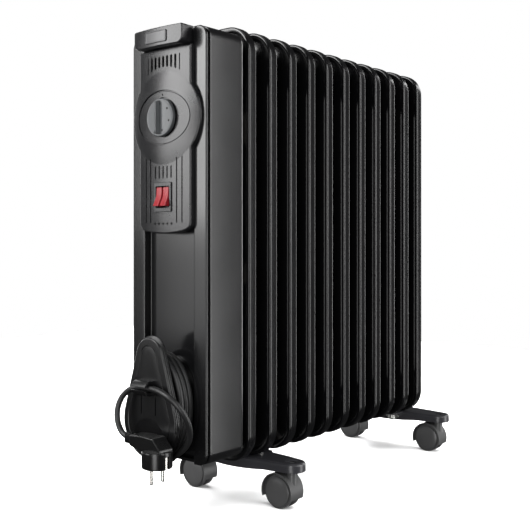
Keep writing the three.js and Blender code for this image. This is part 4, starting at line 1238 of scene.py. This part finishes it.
def build_caster(name, place, facing):
    """A hood with its web, hub, neck and stem, and the two wheels beside the web."""
    x = middle_of(name + "_wheel_outer")[0]
    z = middle_of(name + "_caster_axle")[2]
    wheels = [*near(name + "_wheel_outer"), *near(name + "_wheel_inner")]
    y = (min(p.y for p in wheels) + max(p.y for p in wheels)) / 2
    rim = HOOD_RADIUS + HOOD_WALL
    sector = arc(0, 0, rim, -20, 200, 44) + arc(0, 0, HOOD_RADIUS, 200, -20, 44)
    sector = polygon([(x + u, z + v) for u, v in sector])
    hood = bevelled(prism(sector, y - HOOD_HALF, y + HOOD_HALF), 0.5, 2, 40)
    middle = polygon([(x + u, z + v) for u, v in arc(0, 0, HOOD_RADIUS + 0.5, -20, 200, 44)])
    web = prism(middle, y - WEB_HALF, y + WEB_HALF)
    ring = [(3, -WEB_HALF), (5.7, -WEB_HALF), (5.7, WEB_HALF), (3, WEB_HALF)]
    hub = turned("hub", ring, (x, y, z), "Y", 32, closed=True)
    pivot = (x + facing * STEM_TRAIL, y, 0)
    foot_low = near(place + "_foot")[0].z
    collar = [(0, z + 10), (7, z + 10), (7, foot_low - 0.9), (6.2, foot_low - 0.3), (0, foot_low - 0.3)]
    neck = turned("neck", collar, pivot, "Z", 32)
    drums = []
    for a, b in ((-20, -WEB_HALF), (WEB_HALF, 20)):
        drum = [(0, a), (HOOD_RADIUS, a), (HOOD_RADIUS, b), (0, b)]
        drums.append(turned("drum", drum, (x, y, z), "Y", 64))
    combine(neck, drums, "DIFFERENCE")
    pin = [(0, z + 14), (5, z + 14), (5, STEM_TOP - 1), (4.2, STEM_TOP), (0, STEM_TOP)]
    stem = turned("stem", pin, pivot, "Z", 28)
    whole = joined(name + "_hood", [hood, web, hub, neck, stem])
    finished(whole, name + "_caster", "caster_plastic", FINISHES["caster"], name + "_caster_hood")
    keep(name + "_caster_axle", "zinc")
    for which in ("outer", "inner"):
        build_wheel(name, which, x, y, z)


def build_wheel(name, which, x, y, z):
    """A domed wheel that stands on the floor, with a gap round its cap."""
    low, high = near(name + "_wheel_" + which)
    out = 1 if (low.y + high.y) / 2 > y else -1
    near_y, far_y = (low.y, high.y) if out > 0 else (high.y, low.y)
    profile = [(z * r, far_y + out * d) for r, d in WHEEL_DOME]
    profile += [(z, near_y + out * 1.2), (z * 0.97, near_y + out * 0.2), (z * 0.9, near_y)]
    profile += [(3.0, near_y), (3.0, far_y - out * 3.4), (0, far_y - out * 3.4)]
    wheel = turned(name + "_" + which + "_disc", profile, (x, 0, z), "Y", 64)
    body, node = name + "_" + which + "_wheel", name + "_wheel_" + which
    finished(wheel, body, "caster_plastic", FINISHES["caster"], node)


# ---- Fasteners and inner pieces -------------------------------------------------------------

BOLT_RADIUS = 3.0
EAR = [(5, 1.2), (9, 1.6), (12.6, 3.4), (12.9, 5.6), (11, 7.0), (8, 6.2), (5, 4.6)]  # x and z


def keep(node, finish):
    """Gives a CAD node that stays in view its finish."""
    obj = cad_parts[node]
    obj.data.materials.clear()
    obj.data.materials.append(FINISHES[finish])


def build_fasteners():
    """The U-bolt and two wing nuts that clamp each foot."""
    for place in ("front", "rear"):
        build_bolt(place)
        for side in ("left", "right"):
            build_nut(place + "_wing_nut_" + side)


def build_bolt(place):
    """A round bar bent over the header tube."""
    low, high = near(place + "_u_bolt")
    y, r = (low.y + high.y) / 2, BOLT_RADIUS
    span = (high.x - low.x) / 2 - r
    crown = high.z - r - span
    turn = [math.pi * (1 - i / 24) for i in range(25)]
    bend = [(span * math.cos(t), y, crown + span * math.sin(t)) for t in turn]
    line = [(-span, y, low.z), *bend, (span, y, low.z)]
    curve = tube(place + "_clamp", [at(*p) for p in line], r * MM, 3)
    curve.use_fill_caps = True
    bar = placed("bar", curve)
    bolt = placed(place + "_clamp", evaluated_mesh(bar))
    bpy.data.objects.remove(bar)
    finished(bolt, BODY, "zinc_steel", FINISHES["zinc"], place + "_u_bolt", angle=50)


def build_nut(node):
    """A cast nut with two ears."""
    low, high = near(node)
    x, y, _ = middle_of(node)
    ring = [(3.3, low.z), (6.2, low.z), (7, low.z + 1), (5.4, high.z - 0.6), (5, high.z), (3.3, high.z)]
    nut = turned("nut", ring, (x, y, 0), "Z", 28, closed=True)
    ears = []
    for s in (-1, 1):
        ear = polygon([(x + s * u, low.z + v) for u, v in EAR])
        ears.append(bevelled(prism(ear, y - 1.2, y + 1.2), 0.5, 2))
    finished(joined(node + "_cast", [nut, *ears]), BODY, "zinc_steel", FINISHES["zinc"], node)


def build_inner():
    """The filler plug's head, and the finishes of the CAD pieces that stay as they are."""
    low, high = near("oil_filler_plug")
    z = (low.z + high.z) / 2
    head = skinned("filler_head", circle(9, 0, z, 6), [(0, low.y), (0, high.y - 0.8), (0.9, high.y)])
    finished(head, BODY, "zinc_steel", FINISHES["zinc"], "oil_filler_plug", angle=20)
    for node in ("heating_element", "element_flange"):
        keep(node, "zinc")
    for node in ("thermal_cutout", "terminal_block", "thermostat_body"):
        keep(node, "steatite")


# ---- Operators, panel and registration ------------------------------------------------------


class HEATER_OT_stage(bpy.types.Operator):
    """Make the camera, floor and lights"""

    bl_idname = "heater.stage"
    bl_label = "Stage"

    def execute(self, context):
        build_stage()
        return {"FINISHED"}


class HEATER_OT_cord(bpy.types.Operator):
    """Wind the lead and make its plug and gland"""

    bl_idname = "heater.cord"
    bl_label = "Lead and plug"

    def execute(self, context):
        build_cord(context.scene.heater_sizes)
        return {"FINISHED"}


class HEATER_OT_reel(bpy.types.Operator):
    """Make the reel's plate, clip and hub"""

    bl_idname = "heater.reel"
    bl_label = "Cord reel"

    def execute(self, context):
        build_reel()
        return {"FINISHED"}


class HEATER_OT_panel(bpy.types.Operator):
    """Make the panel with its slots and dome"""

    bl_idname = "heater.panel"
    bl_label = "Control panel"

    def execute(self, context):
        build_panel(context.scene.heater_sizes)
        return {"FINISHED"}


class HEATER_OT_dial(bpy.types.Operator):
    """Make the thermostat knob"""

    bl_idname = "heater.dial"
    bl_label = "Dial"

    def execute(self, context):
        build_dial()
        return {"FINISHED"}


class HEATER_OT_switches(bpy.types.Operator):
    """Make the switch housing and its rockers"""

    bl_idname = "heater.switches"
    bl_label = "Switches"

    def execute(self, context):
        build_switches()
        return {"FINISHED"}


class HEATER_OT_handle(bpy.types.Operator):
    """Make the carrying handle and its blank plate"""

    bl_idname = "heater.handle"
    bl_label = "Handle"

    def execute(self, context):
        build_handle()
        return {"FINISHED"}


class HEATER_OT_cover(bpy.types.Operator):
    """Make the channelled front cover"""

    bl_idname = "heater.cover"
    bl_label = "Front cover"

    def execute(self, context):
        build_cover()
        return {"FINISHED"}


class HEATER_OT_shell(bpy.types.Operator):
    """Make the housing's side shell"""

    bl_idname = "heater.shell"
    bl_label = "Side shell"

    def execute(self, context):
        build_shell()
        return {"FINISHED"}


class HEATER_OT_fins(bpy.types.Operator):
    """Make the pressed fins and header tubes"""

    bl_idname = "heater.fins"
    bl_label = "Fins"

    def execute(self, context):
        build_fins(context.scene.heater_sizes)
        return {"FINISHED"}


class HEATER_OT_feet(bpy.types.Operator):
    """Make the foot brackets"""

    bl_idname = "heater.feet"
    bl_label = "Feet"

    def execute(self, context):
        build_feet()
        return {"FINISHED"}


class HEATER_OT_casters(bpy.types.Operator):
    """Make the twin-wheel casters"""

    bl_idname = "heater.casters"
    bl_label = "Casters"

    def execute(self, context):
        build_casters()
        return {"FINISHED"}


class HEATER_OT_fasteners(bpy.types.Operator):
    """Make the U-bolts and wing nuts"""

    bl_idname = "heater.fasteners"
    bl_label = "Fasteners"

    def execute(self, context):
        build_fasteners()
        return {"FINISHED"}


class HEATER_OT_inner(bpy.types.Operator):
    """Finish the pieces inside the housing"""

    bl_idname = "heater.inner"
    bl_label = "Inner pieces"

    def execute(self, context):
        build_inner()
        return {"FINISHED"}


OPERATORS = [
    HEATER_OT_stage,
    HEATER_OT_cord,
    HEATER_OT_reel,
    HEATER_OT_panel,
    HEATER_OT_dial,
    HEATER_OT_switches,
    HEATER_OT_handle,
    HEATER_OT_cover,
    HEATER_OT_shell,
    HEATER_OT_fins,
    HEATER_OT_feet,
    HEATER_OT_casters,
    HEATER_OT_fasteners,
    HEATER_OT_inner,
]


class HEATER_PT_build(bpy.types.Panel):
    """Lists the build steps and sizes"""

    bl_label = "Oil Radiator"
    bl_idname = "HEATER_PT_build"
    bl_space_type = "VIEW_3D"
    bl_region_type = "UI"
    bl_category = "Heater"

    def draw(self, context):
        for group in (context.scene.heater_sizes, context.scene.heater_colours):
            for name in group.bl_rna.properties.keys()[2:]:
                self.layout.prop(group, name)
        for step in OPERATORS:
            self.layout.operator(step.bl_idname)


CLASSES = [HeaterSizes, HeaterColours, *OPERATORS, HEATER_PT_build]


def register():
    for cls in CLASSES:
        bpy.utils.register_class(cls)
    bpy.types.Scene.heater_sizes = bpy.props.PointerProperty(type=HeaterSizes)
    bpy.types.Scene.heater_colours = bpy.props.PointerProperty(type=HeaterColours)


def unregister():
    del bpy.types.Scene.heater_sizes
    del bpy.types.Scene.heater_colours
    for cls in reversed(CLASSES):
        bpy.utils.unregister_class(cls)


def main():
    register()
    FINISHES.update(finishes())
    for step in OPERATORS:
        getattr(bpy.ops.heater, step.bl_idname.split(".")[1])()


if __name__ == "__main__":
    main()
